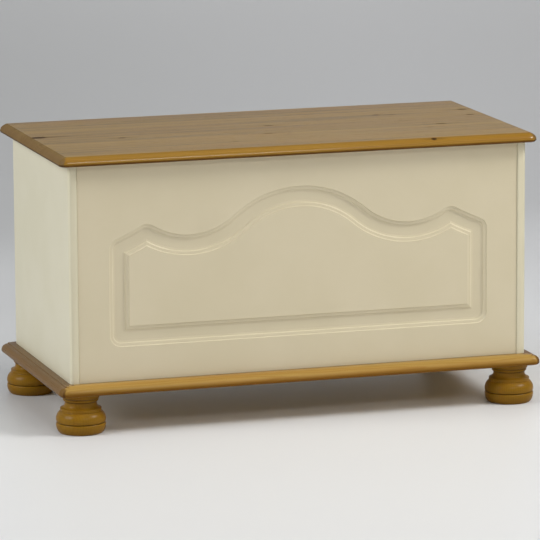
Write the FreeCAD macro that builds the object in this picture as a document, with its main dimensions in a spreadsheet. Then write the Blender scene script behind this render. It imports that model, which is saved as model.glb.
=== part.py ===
import FreeCAD, Part
import math
import os
import re
import Sketcher

# A blanket chest on turned bun feet: a lacquered box between a moulded pine base and a moulded
# pine lid, which is hung on two butt hinges and held open by two slotted stays.
# Millimetres. X runs along the chest, -Y is the front, Z is up from the floor. The origin is the
# middle of the chest's footprint.

# ---------------------------------------------------------------- driving dimensions
SIZES = {
    # box
    "carcass_width": 800.0,          # over the two side panels
    "carcass_depth": 367.0,          # front edge to back edge of a side panel
    "carcass_height": 365.8,         # base frame to lid
    "board": 15.0,                   # side, front and back panels
    "bottom_board": 12.0,
    "panel_gap": 0.4,                # between the front panel's ends and the side panels
    "front_recess": 1.5,             # front panel behind the side panels' front edges
    "edge_round_outer": 4.0,         # front edges of the side panels
    "edge_round_inner": 1.5,
    # routed front panel: outline of the groove, from the panel's bottom edge
    "field_half_width": 331.5,
    "field_bottom": 58.0,
    "crown_height": 311.5,
    "crown_radius": 176.5,
    "dip_radius": 118.0,
    "dip_place": 192.0,              # centre of the dip's arc, from the middle of the panel
    "shoulder_radius": 300.0,
    "shoulder_place": 425.5,         # centre of the shoulder's arc
    "shoulder_height": 219.7,        # lowest point of that arc
    "cutter_radius": 20.0,
    # routed front panel: section across the groove, inward from the outline
    "bead_step": 1.2,
    "bead_width": 4.4,
    "groove_wall": 1.5,
    "groove_cove": 3.0,
    "groove_width": 34.5,
    "bead_top_depth": 1.6,
    "bead_foot_depth": 2.3,
    "cove_depth": 4.3,
    "groove_depth": 5.0,
    # moulded edges of the base frame and the lid, all cut by one cutter
    "edge_width": 12.0,              # arris to nose
    "edge_quirk_width": 1.0,
    "edge_quirk_depth": 1.8,
    "edge_ovolo_radius": 10.5,
    "edge_nose_depth": 11.4,         # nose below the top face
    "edge_under_width": 5.0,         # nose to the flat underside
    "edge_under_radius": 5.2,
    "edge_corner": 3.0,              # round of the arris in plan, at the front corners
    "edge_allowance": 2.0,           # left on a blank for the cutter
    # base frame
    "rail_height": 17.4,
    "rail_inset": 44.0,              # from the box's faces to the rails' inner edges
    "base_projection": 23.0,
    "base_rear": 14.0,               # square-cut back ends, behind the box
    "block_leg": 55.0,               # glued triangular blocks in the frame's corners
    # lid
    "lid_thickness": 16.2,
    "lid_projection": 17.4,
    "lid_rear": 21.0,
    # turned feet: heights above the floor
    "foot_height": 66.3,
    "foot_inset_side": 21.4,
    "foot_inset_front": 18.6,
    "foot_inset_back": 16.0,
    "foot_sole_radius": 36.2,
    "foot_sole_round": 1.2,
    "foot_band_curve": 20.0,
    "foot_band_radius": 41.5,
    "foot_band_height": 14.4,
    "foot_band_round": 3.0,
    "foot_groove_radius": 39.4,
    "foot_groove_height": 17.6,
    "foot_groove_top": 18.8,
    "foot_quirk": 0.5,
    "foot_bulb_curve": 16.0,
    "foot_shoulder_radius": 34.8,
    "foot_shoulder_height": 36.2,
    "foot_undercut_radius": 34.0,
    "foot_undercut_height": 36.8,
    "foot_lip_radius": 34.4,
    "foot_lip_height": 41.4,
    "foot_lip_edge": 4.0,
    "foot_cavetto_curve": 8.5,
    "foot_neck_radius": 26.8,
    "foot_neck_height": 50.8,
    "foot_neck_top": 53.0,
    "foot_bead_low_radius": 28.2,
    "foot_bead_top_radius": 29.2,
    "foot_bead_height": 57.6,
    "foot_bead_curve": 3.2,
    "foot_collar_radius": 31.2,
    "foot_collar_height": 59.0,
    "foot_top_radius": 33.2,
    # butt hinges
    "hinge_inset": 138.0,            # from the box's side to the middle of a hinge
    "hinge_length": 64.0,
    "hinge_leaf": 1.5,
    "back_leaf_width": 26.0,
    "back_leaf_screw_drop": 15.0,    # screws below the hinge axis
    "lid_leaf_width": 14.5,
    "lid_leaf_screw_reach": 9.0,     # screws behind the hinge axis
    "knuckle_radius": 4.0,
    "knuckle_clearance": 0.4,
    "knuckle_gap": 0.3,
    "hinge_pin_radius": 2.0,
    "hinge_pin_fit": 0.05,
    "hinge_pin_end": 1.0,            # beyond the knuckles
    "hinge_screw_pitch": 22.0,
    # slotted stays
    "stay_reach": 135.0,             # hinge axis to pivot, and hinge axis to stud
    "stay_angle": 36.0,              # pivot, hinge axis, stud, with the lid down
    "stay_drop": 12.0,               # pivot below the lid
    "stay_gap": 4.0,                 # side panel to arm
    "stay_thickness": 2.5,
    "stay_width": 16.0,
    "stay_slot_clearance": 0.3,
    "stay_side_clearance": 0.4,
    "stay_open_angle": 95.0,
    "stay_end_play": 1.5,
    "stud_radius": 3.0,
    "stud_flange_radius": 9.0,
    "stud_head_radius": 6.5,
    "stud_head_height": 2.4,
    "stud_chamfer": 1.0,
    "stud_slot_width": 1.2,
    "stud_spigot_radius": 2.5,
    "stud_spigot_depth": 11.0,
    "rivet_radius": 2.5,
    "rivet_fit": 0.05,
    "rivet_head_radius": 4.5,
    "rivet_head_height": 1.0,
    "rivet_chamfer": 0.4,
    "bracket_plate": 2.0,
    "bracket_width": 22.0,
    "bracket_length": 52.0,
    "bracket_ear_radius": 8.0,
    "bracket_screw_pitch": 34.0,
    # fasteners
    "fastener_clearance": 0.1,
    "small_screw_radius": 1.75,
    "small_screw_head_radius": 3.4,
    "small_screw_head_height": 1.5,
    "small_screw_length": 13.0,
    "bottom_screw_length": 26.0,
    "base_screw_radius": 2.2,
    "base_screw_head_radius": 4.4,
    "base_screw_head_height": 2.6,
    "base_screw_length": 46.0,
    "base_screw_inset": 100.0,       # front and back rails, from the box's sides
    "side_screw_inset": 73.0,        # side rails, from the box's front and back
    "bottom_screw_end_inset": 150.0,
    "bottom_screw_inset": 30.0,
    "foot_screw_radius": 4.0,
    "foot_screw_in_foot": 30.0,
    "foot_screw_in_rail": 15.0,
    "cam_radius": 7.4,
    "cam_depth": 12.0,
    "cam_slot_width": 1.4,
    "cam_slot_length": 9.0,
    "cam_slot_depth": 1.6,
    "cam_inset": 24.0,               # from the panel's end to the cam's middle
    "cam_bolt_radius": 3.0,
    "cam_bolt_bite": 10.0,
    "cam_bolt_gap": 0.5,             # short of the cam
    "cam_low": 50.0,                 # above the base frame
    "cam_top_inset": 42.0,           # below the lid
    "dowel_radius": 4.0,
    "dowel_bite": 10.0,
    "dowel_reach": 18.0,
    "dowel_chamfer": 0.8,
    "dowel_low": 120.0,              # above the base frame
    "dowel_top_inset": 122.0,        # below the lid
}

doc = FreeCAD.newDocument("blanket_chest")
sheet = doc.addObject("Spreadsheet::Sheet", "Sizes")
for row, (alias, value) in enumerate(SIZES.items(), start=1):
    sheet.set(f"A{row}", alias)
    sheet.set(f"B{row}", str(value))
    sheet.setAlias(f"B{row}", alias)
doc.recompute()

# ---------------------------------------------------------------- places worked out from the sizes
SIDE = "(carcass_width / 2)"
INNER_SIDE = "(carcass_width / 2 - board)"
FRONT = "((foot_inset_back - foot_inset_front - carcass_depth) / 2)"
BACK = f"({FRONT} + carcass_depth)"
FRONT_INNER = f"({FRONT} + front_recess + board)"
BACK_INNER = f"({BACK} - board)"
BASE_TOP = "(foot_height + rail_height)"
LID_UNDER = "(foot_height + rail_height + carcass_height)"
HINGE_OFFSET = "(knuckle_radius + knuckle_clearance)"
HINGE_Y = f"({BACK} + {HINGE_OFFSET})"
HINGE_Z = f"({LID_UNDER} - {HINGE_OFFSET})"
PIVOT_ANGLE = f"asin((stay_drop - {HINGE_OFFSET}) / stay_reach)"
STUD_ANGLE = f"(stay_angle * 1 deg + {PIVOT_ANGLE})"
PIVOT_Y = f"({HINGE_Y} - stay_reach * cos({PIVOT_ANGLE}))"
PIVOT_Z = f"({LID_UNDER} - stay_drop)"
STUD_Y = f"({HINGE_Y} - stay_reach * cos({STUD_ANGLE}))"
STUD_Z = f"({HINGE_Z} - stay_reach * sin({STUD_ANGLE}))"
SLOT_START = "(2 * stay_reach * sin(stay_angle / 2 * 1 deg) - stay_end_play)"
SLOT_END = "(2 * stay_reach * sin((stay_angle + stay_open_angle) / 2 * 1 deg) + stay_end_play)"
STAY_OUTER = f"(-{INNER_SIDE} + stay_gap)"
STAY_INNER = f"({STAY_OUTER} + stay_thickness)"
EAR_OUTER = f"({STAY_INNER} + stay_side_clearance)"

ALIAS_WORD = re.compile(r"\b(" + "|".join(sorted(SIZES, key=len, reverse=True)) + r")\b")


def cells(text):
    """The expression with each size's alias read from the sheet."""
    return ALIAS_WORD.sub(r"Sizes.\1", text)


def bind(item, prop, text):
    item.setExpression(prop, cells(text))


def number(text):
    """The expression's value now, for the first place of a sketch's points."""
    result = sheet.evalExpression(cells(text))
    return float(getattr(result, "Value", result))


# ---------------------------------------------------------------- sketches
def sketch_on(body, name, role, offset="0"):
    """A sketch on one of the body's own origin planes, moved along its normal by offset."""
    plane = next(item for item in body.Origin.OriginFeatures if item.Role == role)
    sketch = body.newObject("Sketcher::SketchObject", name)
    sketch.AttachmentSupport = (plane, [""])
    sketch.MapMode = "FlatFace"
    bind(sketch, "AttachmentOffset.Base.z", offset)
    return sketch


def hold_point(sketch, geometry, point, x, y):
    """Place a point of the sketch from the origin by two expressions."""
    for kind, text in (("DistanceX", x), ("DistanceY", y)):
        index = sketch.addConstraint(
            Sketcher.Constraint(kind, -1, 1, geometry, point, number(text))
        )
        bind(sketch, f"Constraints[{index}]", text)


def arc_between(start, end, radius, side):
    """The short arc from start to end that bulges to the left (1) or right (-1) of the way."""
    chord = end - start
    left = FreeCAD.Vector(-chord.y, chord.x, 0).normalize()
    depth = math.sqrt(max(radius**2 - chord.Length**2 / 4, 0.0))
    centre = (start + end) / 2 - left * side * depth
    first, last = (end, start) if side > 0 else (start, end)
    angles = [math.atan2(p.y - centre.y, p.x - centre.x) for p in (first, last)]
    if angles[1] < angles[0]:
        angles[1] += 2 * math.pi
    circle = Part.Circle(centre, FreeCAD.Vector(0, 0, 1), radius)
    return Part.ArcOfCircle(circle, angles[0], angles[1])


def outline(sketch, corners, closed=True):
    """Lines and arcs through the corners, back to the first one where it is closed.

    A corner is (x, y), or (x, y, radius, side) where an arc leaves it.
    """
    points = [FreeCAD.Vector(number(c[0]), number(c[1]), 0) for c in corners]
    ends = []
    for corner, start, end in zip(corners, points, points[1:] + points[:closed]):
        if len(corner) == 4:
            index = sketch.addGeometry(arc_between(start, end, number(corner[2]), corner[3]))
            ends.append((index, 2, 1) if corner[3] > 0 else (index, 1, 2))
        else:
            index = sketch.addGeometry(Part.LineSegment(start, end))
            ends.append((index, 1, 2))
    for (index, _, last), (following, first, _) in zip(ends, ends[1:] + ends[:closed]):
        sketch.addConstraint(Sketcher.Constraint("Coincident", index, last, following, first))
    if not closed:
        index, _, last = ends[-1]
        hold_point(sketch, index, last, *corners[-1])
    for corner, (index, first, last) in zip(corners, ends):
        hold_point(sketch, index, first, corner[0], corner[1])
        if len(corner) == 4:
            radius = sketch.addConstraint(
                Sketcher.Constraint("Radius", index, number(corner[2]))
            )
            bind(sketch, f"Constraints[{radius}]", corner[2])


def circles(sketch, centres, radius):
    for x, y in centres:
        centre = FreeCAD.Vector(number(x), number(y), 0)
        circle = Part.Circle(centre, FreeCAD.Vector(0, 0, 1), number(radius))
        index = sketch.addGeometry(circle)
        hold_point(sketch, index, 3, x, y)
        held = sketch.addConstraint(Sketcher.Constraint("Radius", index, number(radius)))
        bind(sketch, f"Constraints[{held}]", radius)


# ---------------------------------------------------------------- features
def new_body(label):
    body = doc.addObject("PartDesign::Body", label)
    body.Label = label
    return body


def place(item, x="0", y="0", z="0"):
    bind(item, "Placement.Base.x", x)
    bind(item, "Placement.Base.y", y)
    bind(item, "Placement.Base.z", z)


def pad(body, sketch, length, symmetric=False, backward=False):
    feature = body.newObject("PartDesign::Pad", sketch.Name + "_pad")
    feature.Profile = sketch
    feature.SideType = "Symmetric" if symmetric else "One side"
    feature.Reversed = backward
    bind(feature, "Length", length)
    return feature


def removes(body, make):
    """Run make, which adds a cutting feature, and check that it took material away."""
    doc.recompute()
    before = body.Shape.Volume
    feature = make()
    doc.recompute()
    if body.Shape.Volume >= before:
        raise RuntimeError(f"{feature.Label} cuts nothing from {body.Label}")
    return feature


def pocket(body, sketch, length, symmetric=False, along_normal=False):
    def make():
        feature = body.newObject("PartDesign::Pocket", sketch.Name + "_pocket")
        feature.Profile = sketch
        feature.SideType = "Symmetric" if symmetric else "One side"
        feature.Reversed = along_normal
        bind(feature, "Length", length)
        return feature

    return removes(body, make)


def bores(body, name, role, offset, centres, radius, depth, along_normal=True):
    """Round holes from the plane at offset, along its normal or against it."""
    sketch = sketch_on(body, name, role, offset)
    circles(sketch, centres, radius)
    return pocket(body, sketch, depth, along_normal=along_normal)


def moulded_edge(body, name, height, projection, rear):
    """Run the moulding cutter round the front and both ends of a board or a frame.

    height is the board's, projection its reach beyond the box, and rear that behind the box.
    From the top down, the cutter leaves an arris, a quirk, an ovolo down to the nose, and a
    round back to the underside.
    """
    reach = f"({SIDE} + {projection})"
    front = f"({FRONT} - {projection})"
    back = f"({BACK} + {rear} + edge_width)"
    turn = "(edge_width + edge_corner)"
    path = sketch_on(body, f"{name}_path", "XY_Plane")
    outline(path, [
        (f"-{reach}", back),
        (f"-{reach}", f"{front} + {turn}", turn, -1),
        (f"-({reach} - {turn})", front),
        (f"{reach} - {turn}", front, turn, -1),
        (reach, f"{front} + {turn}"),
        (reach, back),
    ], closed=False)

    def at(inset, level):
        return (f"-({reach} - ({inset}))", level)

    waste = sketch_on(body, f"{name}_waste", "XZ_Plane", f"-{back}")
    outline(waste, [
        at("edge_width", height),
        (*at("edge_width - edge_quirk_width", f"{height} - edge_quirk_depth"),
         "edge_ovolo_radius", -1),
        (*at("0", f"{height} - edge_nose_depth"), "edge_under_radius", -1),
        at("edge_under_width", "0"),
        at("edge_under_width", "-edge_width"),
        at("-edge_width", "-edge_width"),
        at("-edge_width", f"{height} + edge_width"),
        at("edge_width", f"{height} + edge_width"),
    ])

    def sweep():
        feature = body.newObject("PartDesign::SubtractivePipe", f"{name}_moulding")
        feature.Profile = waste
        feature.Spine = path
        return feature

    removes(body, sweep)


def mirrored(source, label):
    """The same piece for the other end of the chest."""
    twin = doc.addObject("Part::Mirroring", label)
    twin.Label = label
    twin.Source = source
    twin.Normal = (1, 0, 0)
    return twin


def group(label, template, places):
    """Copies of one fastener in one node: each place is a position and a rotation."""
    doc.recompute()
    copies = []
    for position, rotation in places:
        copy = template.Shape.copy()
        base = FreeCAD.Vector(*(number(text) for text in position))
        copy.Placement = FreeCAD.Placement(base, rotation)
        copies.append(copy)
    item = doc.addObject("Part::Feature", label)
    item.Label = label
    item.Shape = Part.makeCompound(copies)
    item.Placement = FreeCAD.Placement()
    return item


def signed(values):
    """Each expression and its negative."""
    return [sign + value for value in values for sign in ("-", "")]


UPRIGHT = FreeCAD.Rotation()
UPSIDE_DOWN = FreeCAD.Rotation(FreeCAD.Vector(1, 0, 0), 180)
HEAD_BACK = FreeCAD.Rotation(FreeCAD.Vector(1, 0, 0), -90)
HEAD_FRONT = FreeCAD.Rotation(FreeCAD.Vector(1, 0, 0), 90)
HEAD_LEFT = FreeCAD.Rotation(FreeCAD.Vector(0, 1, 0), -90)
HEAD_RIGHT = FreeCAD.Rotation(FreeCAD.Vector(0, 1, 0), 90)

# Fastener places that two or more pieces share: plan positions of screws and feet.
FRONT_PANEL_MIDDLE = f"({FRONT} + front_recess + board / 2)"
BACK_PANEL_MIDDLE = f"({BACK} - board / 2)"
SIDE_PANEL_MIDDLE = "(carcass_width / 2 - board / 2)"
MIDDLE_Y = f"({FRONT} + carcass_depth / 2)"
BASE_SCREW_END = f"({SIDE} - base_screw_inset)"
BASE_SCREW_XS = [f"-{BASE_SCREW_END}", "0", BASE_SCREW_END]
SIDE_SCREW_YS = [f"({FRONT} + side_screw_inset)", f"({BACK} - side_screw_inset)"]
BOTTOM_SCREW_END = f"({SIDE} - bottom_screw_end_inset)"
BOTTOM_SCREW_XS = [f"-{BOTTOM_SCREW_END}", "0", BOTTOM_SCREW_END]
BOTTOM_SCREW_FRONT = f"({FRONT} + bottom_screw_inset)"
BOTTOM_SCREW_BACK = f"({BACK} - bottom_screw_inset)"
BOTTOM_SCREW_SIDE = "(carcass_width / 2 - bottom_screw_inset)"
BOTTOM_SCREW_PLAN = (
    [(x, y) for y in (BOTTOM_SCREW_FRONT, BOTTOM_SCREW_BACK) for x in BOTTOM_SCREW_XS]
    + [(x, MIDDLE_Y) for x in signed([BOTTOM_SCREW_SIDE])]
)
FOOT_X = "(carcass_width / 2 - foot_inset_side)"
FOOT_FRONT = f"({FRONT} + foot_inset_front)"
FOOT_BACK = f"({BACK} - foot_inset_back)"
CAM_HEIGHTS = ["cam_low", "(carcass_height - cam_top_inset)"]
DOWEL_HEIGHTS = ["dowel_low", "(carcass_height - dowel_top_inset)"]
HINGE_X = f"({SIDE} - hinge_inset)"
HINGE_SCREW_XS = [
    f"({hinge} + {step})"
    for hinge in (f"-{HINGE_X}", HINGE_X)
    for step in ("-hinge_screw_pitch", "0", "hinge_screw_pitch")
]
BACK_LEAF_SCREW_DROP = f"({HINGE_OFFSET} + back_leaf_screw_drop)"
LOOSE_BASE_SCREW = "(base_screw_radius + fastener_clearance)"
LOOSE_SMALL_SCREW = "(small_screw_radius + fastener_clearance)"
LOOSE_FOOT_SCREW = "(foot_screw_radius + fastener_clearance)"


# ---------------------------------------------------------------- box
def side_panel():
    body = new_body("side_panel_left")
    plan = sketch_on(body, "side_plan", "XY_Plane")
    outline(plan, [
        ("0", "edge_round_outer", "edge_round_outer", -1),
        ("edge_round_outer", "0"),
        ("board - edge_round_inner", "0", "edge_round_inner", -1),
        ("board", "edge_round_inner"),
        ("board", "carcass_depth"),
        ("0", "carcass_depth"),
    ])
    pad(body, plan, "carcass_height")
    place(body, f"-{SIDE}", FRONT, BASE_TOP)
    joint_ys = ["front_recess + board / 2", "carcass_depth - board / 2"]
    bores(body, "side_cam_bolts", "YZ_Plane", "board - cam_bolt_bite",
          [(y, z) for y in joint_ys for z in CAM_HEIGHTS],
          "cam_bolt_radius + fastener_clearance", "cam_bolt_bite")
    bores(body, "side_dowels", "YZ_Plane", "board - dowel_bite",
          [(y, z) for y in joint_ys for z in DOWEL_HEIGHTS],
          "dowel_radius + fastener_clearance", "dowel_bite")
    bores(body, "side_stud", "YZ_Plane", "board - stud_spigot_depth",
          [(f"{STUD_Y} - {FRONT}", f"{STUD_Z} - {BASE_TOP}")],
          "stud_spigot_radius + fastener_clearance", "stud_spigot_depth")
    bores(body, "side_base_screws", "XY_Plane", "0",
          [("board / 2", f"{y} - {FRONT}") for y in SIDE_SCREW_YS],
          LOOSE_BASE_SCREW, "base_screw_length - rail_height")
    return body


def end_joint_bores(body, prefix, half_length, middle, cams_along_normal, cam_plane):
    """Cam, cam bolt and dowel bores in both ends of a panel that stands between the sides."""
    for hand, along in (("-", True), ("", False)):
        edge = f"{hand}{half_length}"
        side = "left" if along else "right"
        bores(body, f"{prefix}_bolt_bores_{side}", "YZ_Plane", edge,
              [(middle, z) for z in CAM_HEIGHTS],
              "cam_bolt_radius + fastener_clearance", "cam_inset", along)
        bores(body, f"{prefix}_dowel_bores_{side}", "YZ_Plane", edge,
              [(middle, z) for z in DOWEL_HEIGHTS],
              "dowel_radius + fastener_clearance", "dowel_reach", along)
    bores(body, f"{prefix}_cam_bores", "XZ_Plane", cam_plane,
          [(x, z) for x in signed([f"({half_length} - cam_inset)"]) for z in CAM_HEIGHTS],
          "cam_radius + fastener_clearance", "cam_depth", cams_along_normal)


PANEL_HALF = f"({INNER_SIDE} - panel_gap)"


# The arch's outline: a crown, a dip on each side of it and a hollow shoulder outside each peak.
CROWN_CENTRE = "(crown_height - crown_radius)"
DIP_CENTRE = f"({CROWN_CENTRE} + sqrt((crown_radius + dip_radius) ^ 2 - dip_place ^ 2))"
SHOULDER_CENTRE = "(shoulder_height + shoulder_radius)"


def on_circle(centre, other, radius):
    """The point of a circle that lies toward another point."""
    return centre + (other - centre).normalize() * radius


def below_at(centre, radius, x):
    """The lower point of a circle at that x."""
    return FreeCAD.Vector(x, centre.y - math.sqrt(radius**2 - (x - centre.x) ** 2), 0)


def crossing(centre, radius, other, other_radius):
    """The lower point where two circles cross."""
    gap = other - centre
    along = (gap.Length**2 + radius**2 - other_radius**2) / (2 * gap.Length)
    across = math.sqrt(radius**2 - along**2)
    normal = FreeCAD.Vector(-gap.y, gap.x, 0).normalize()
    middle = on_circle(centre, other, along)
    return min((middle + normal * across, middle - normal * across), key=lambda p: p.y)


def arch_right_half(inset, corner):
    """Edges from the bottom up to the crown: name, centre, and its ends counter-clockwise."""
    half = number("field_half_width")
    crown = FreeCAD.Vector(0, number(CROWN_CENTRE), 0)
    dip = FreeCAD.Vector(number("dip_place"), number(DIP_CENTRE), 0)
    shoulder = FreeCAD.Vector(number("shoulder_place"), number(SHOULDER_CENTRE), 0)
    dip_radius = number("dip_radius")
    shoulder_radius = number("shoulder_radius")
    side = half - inset
    base = number("field_bottom") + inset
    turn = on_circle(crown, dip, number("crown_radius") - inset)
    if not corner:
        top = below_at(shoulder, shoulder_radius + inset, side)
        peak = crossing(dip, dip_radius + inset, shoulder, shoulder_radius + inset)
        return [
            ("side", None, FreeCAD.Vector(side, base, 0), top),
            ("shoulder", shoulder, peak, top),
            ("dip", dip, turn, peak),
        ]
    low = FreeCAD.Vector(half - corner, number("field_bottom") + corner, 0)
    top = below_at(shoulder, shoulder_radius + corner, half - corner)
    peak = crossing(dip, dip_radius + corner, shoulder, shoulder_radius + corner)
    low_side = FreeCAD.Vector(side, low.y, 0)
    top_side = FreeCAD.Vector(side, top.y, 0)
    top_end = on_circle(shoulder, top, shoulder_radius + inset)
    peak_outside = on_circle(shoulder, peak, shoulder_radius + inset)
    peak_inside = on_circle(dip, peak, dip_radius + inset)
    return [
        ("round", low, FreeCAD.Vector(low.x, base, 0), low_side),
        ("side", None, low_side, top_side),
        ("round", top, top_side, top_end),
        ("shoulder", shoulder, peak_outside, top_end),
        ("round", peak, peak_outside, peak_inside),
        ("dip", dip, turn, peak_inside),
    ]


def flip(point):
    return point and FreeCAD.Vector(-point.x, point.y, 0)


def arch_sketch(body, name, inset, depth, corner=""):
    """One level of the routed groove: the arch's outline at that inset and depth.

    The cutter leaves round corners. Without a corner radius the corners are sharp.
    """
    sketch = sketch_on(body, name, "XZ_Plane", f"-({depth})")
    right = arch_right_half(number(inset), number(corner) if corner else 0)
    left = [(kind, flip(centre), flip(last), flip(first)) for kind, centre, first, last in right]
    start, turn = right[0][2], right[-1][2]
    crown_centre = FreeCAD.Vector(0, number(CROWN_CENTRE), 0)
    bottom = ("bottom", None, flip(start), start)
    chain = [bottom, *right, ("crown", crown_centre, turn, flip(turn)), *reversed(left)]

    def hold(kind, *where_and_value):
        *where, text = where_and_value
        index = sketch.addConstraint(Sketcher.Constraint(kind, *where, number(text)))
        bind(sketch, f"Constraints[{index}]", text)

    ends = []
    for kind, centre, first, last in chain:
        sign = "-" if first.x + last.x < 0 else ""
        if centre is None:
            index = sketch.addGeometry(Part.LineSegment(first, last))
            ends.append((kind, index, 1, 2))
        else:
            angles = [math.atan2(p.y - centre.y, p.x - centre.x) for p in (first, last)]
            if angles[1] < angles[0]:
                angles[1] += 2 * math.pi
            circle = Part.Circle(centre, FreeCAD.Vector(0, 0, 1), (first - centre).Length)
            index = sketch.addGeometry(Part.ArcOfCircle(circle, *angles))
            hollow = kind in ("dip", "shoulder")
            ends.append((kind, index, 2, 1) if hollow else (kind, index, 1, 2))
        if kind == "bottom":
            sketch.addConstraint(Sketcher.Constraint("Horizontal", index))
            hold("DistanceY", -1, 1, index, 1, f"field_bottom + {inset}")
        elif kind == "side":
            sketch.addConstraint(Sketcher.Constraint("Vertical", index))
            hold("DistanceX", -1, 1, index, 1, f"{sign}(field_half_width - ({inset}))")
        elif kind == "crown":
            hold_point(sketch, index, 3, "0", CROWN_CENTRE)
            hold("Radius", index, f"crown_radius - ({inset})")
        elif kind == "dip":
            hold_point(sketch, index, 3, f"{sign}dip_place", DIP_CENTRE)
        elif kind == "shoulder":
            hold_point(sketch, index, 3, f"{sign}shoulder_place", SHOULDER_CENTRE)
            hold("Radius", index, f"shoulder_radius + {inset}")
        else:
            hold("Radius", index, f"{corner} - ({inset})")
    for (kind, index, _, last), (next_kind, following, first, _) in zip(ends, ends[1:] + ends[:1]):
        smooth = corner or {kind, next_kind} == {"crown", "dip"}
        joint = "Tangent" if smooth else "Coincident"
        sketch.addConstraint(Sketcher.Constraint(joint, index, last, following, first))
    return sketch


def loft(body, name, kind, sketches):
    feature = body.newObject(kind, name)
    feature.Profile = sketches[0]
    feature.Sections = sketches[1:]
    feature.Ruled = True
    feature.Closed = False
    return feature


def front_panel():
    """A flat panel whose face is routed with a cathedral arch: a beaded outer wall, a groove
    and a raised field with a matching bead, which is left standing inside the groove."""
    body = new_body("front_panel")
    face = sketch_on(body, "front_face", "XZ_Plane")
    outline(face, [
        (f"-{PANEL_HALF}", "0"), (PANEL_HALF, "0"),
        (PANEL_HALF, "carcass_height"), (f"-{PANEL_HALF}", "carcass_height"),
    ])
    pad(body, face, "board", backward=True)
    place(body, "0", f"{FRONT} + front_recess", BASE_TOP)

    levels = [
        ("0", "0"),
        ("bead_step", "bead_top_depth"),
        ("bead_step + bead_width", "bead_foot_depth"),
        ("bead_step + bead_width + groove_wall", "cove_depth"),
        ("bead_step + bead_width + groove_wall + groove_cove", "groove_depth"),
    ]
    outer = [
        arch_sketch(body, f"groove_level_{i}", inset, depth, "cutter_radius")
        for i, (inset, depth) in enumerate(levels)
    ]
    removes(body, lambda: loft(body, "groove_cut", "PartDesign::SubtractiveLoft", outer))
    inner = [
        arch_sketch(body, f"field_level_{i}", f"groove_width - ({inset})", depth)
        for i, (inset, depth) in enumerate(reversed(levels))
    ]
    loft(body, "raised_field", "PartDesign::AdditiveLoft", inner)
    end_joint_bores(body, "front", PANEL_HALF, "board / 2", True, "-board")
    bores(body, "front_base_screws", "XY_Plane", "0",
          [(x, "board / 2") for x in BASE_SCREW_XS],
          LOOSE_BASE_SCREW, "base_screw_length - rail_height")
    return body


def back_panel():
    body = new_body("back_panel")
    face = sketch_on(body, "back_face", "XZ_Plane")
    outline(face, [
        (f"-{INNER_SIDE}", "0"), (INNER_SIDE, "0"),
        (INNER_SIDE, "carcass_height"), (f"-{INNER_SIDE}", "carcass_height"),
    ])
    pad(body, face, "board", backward=True)
    place(body, "0", BACK_INNER, BASE_TOP)
    end_joint_bores(body, "back", INNER_SIDE, "board / 2", False, "0")
    bores(body, "back_base_screws", "XY_Plane", "0",
          [(x, "board / 2") for x in BASE_SCREW_XS],
          LOOSE_BASE_SCREW, "base_screw_length - rail_height")
    bores(body, "back_hinge_screws", "XZ_Plane", "-board",
          [(x, f"carcass_height - {BACK_LEAF_SCREW_DROP}") for x in HINGE_SCREW_XS],
          LOOSE_SMALL_SCREW, "small_screw_length - hinge_leaf")
    return body


def bottom_panel():
    body = new_body("bottom_panel")
    plan = sketch_on(body, "bottom_plan", "XY_Plane")
    outline(plan, [
        (f"-{INNER_SIDE}", FRONT_INNER), (INNER_SIDE, FRONT_INNER),
        (INNER_SIDE, BACK_INNER), (f"-{INNER_SIDE}", BACK_INNER),
    ])
    pad(body, plan, "bottom_board")
    place(body, "0", "0", BASE_TOP)
    bores(body, "bottom_board_screws", "XY_Plane", "0",
          BOTTOM_SCREW_PLAN, LOOSE_SMALL_SCREW, "bottom_board")
    heads = sketch_on(body, "bottom_screw_heads", "XY_Plane", "bottom_board")
    circles(heads, BOTTOM_SCREW_PLAN, "small_screw_head_radius + fastener_clearance")
    pocket(body, heads, "small_screw_head_height")
    return body


# ---------------------------------------------------------------- base frame
def base_rail_holes(body, prefix, base_screws, bottom_screws, feet):
    """Holes of a rail: long screws up into a panel, screws from the bottom board, foot screws."""
    bores(body, f"{prefix}_base_screws", "XY_Plane", "0",
          base_screws, LOOSE_BASE_SCREW, "rail_height")
    bores(body, f"{prefix}_base_heads", "XY_Plane", "0", base_screws,
          "base_screw_head_radius + fastener_clearance", "base_screw_head_height")
    bores(body, f"{prefix}_bottom_screws", "XY_Plane",
          "rail_height + bottom_board - bottom_screw_length",
          bottom_screws, LOOSE_SMALL_SCREW, "bottom_screw_length - bottom_board")
    if feet:
        bores(body, f"{prefix}_foot_screws", "XY_Plane", "0",
              feet, LOOSE_FOOT_SCREW, "foot_screw_in_rail + fastener_clearance")


BLANK_X = f"({SIDE} + base_projection + edge_allowance)"
BLANK_Y = f"({FRONT} - base_projection - edge_allowance)"
MITRE_X = f"({SIDE} - rail_inset)"
MITRE_Y = f"({FRONT} + rail_inset)"


def front_rail():
    """The front of the frame, mitred at both ends."""
    body = new_body("base_rail_front")
    plan = sketch_on(body, "front_rail_plan", "XY_Plane")
    outline(plan, [
        (f"-{BLANK_X}", BLANK_Y), (BLANK_X, BLANK_Y), (MITRE_X, MITRE_Y), (f"-{MITRE_X}", MITRE_Y),
    ])
    pad(body, plan, "rail_height")
    place(body, "0", "0", "foot_height")
    moulded_edge(body, "front_rail", "rail_height", "base_projection", "base_rear")
    base_rail_holes(body, "front_rail",
                    [(x, FRONT_PANEL_MIDDLE) for x in BASE_SCREW_XS],
                    [(x, BOTTOM_SCREW_FRONT) for x in BOTTOM_SCREW_XS],
                    [(x, FOOT_FRONT) for x in signed([FOOT_X])])
    return body


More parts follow.
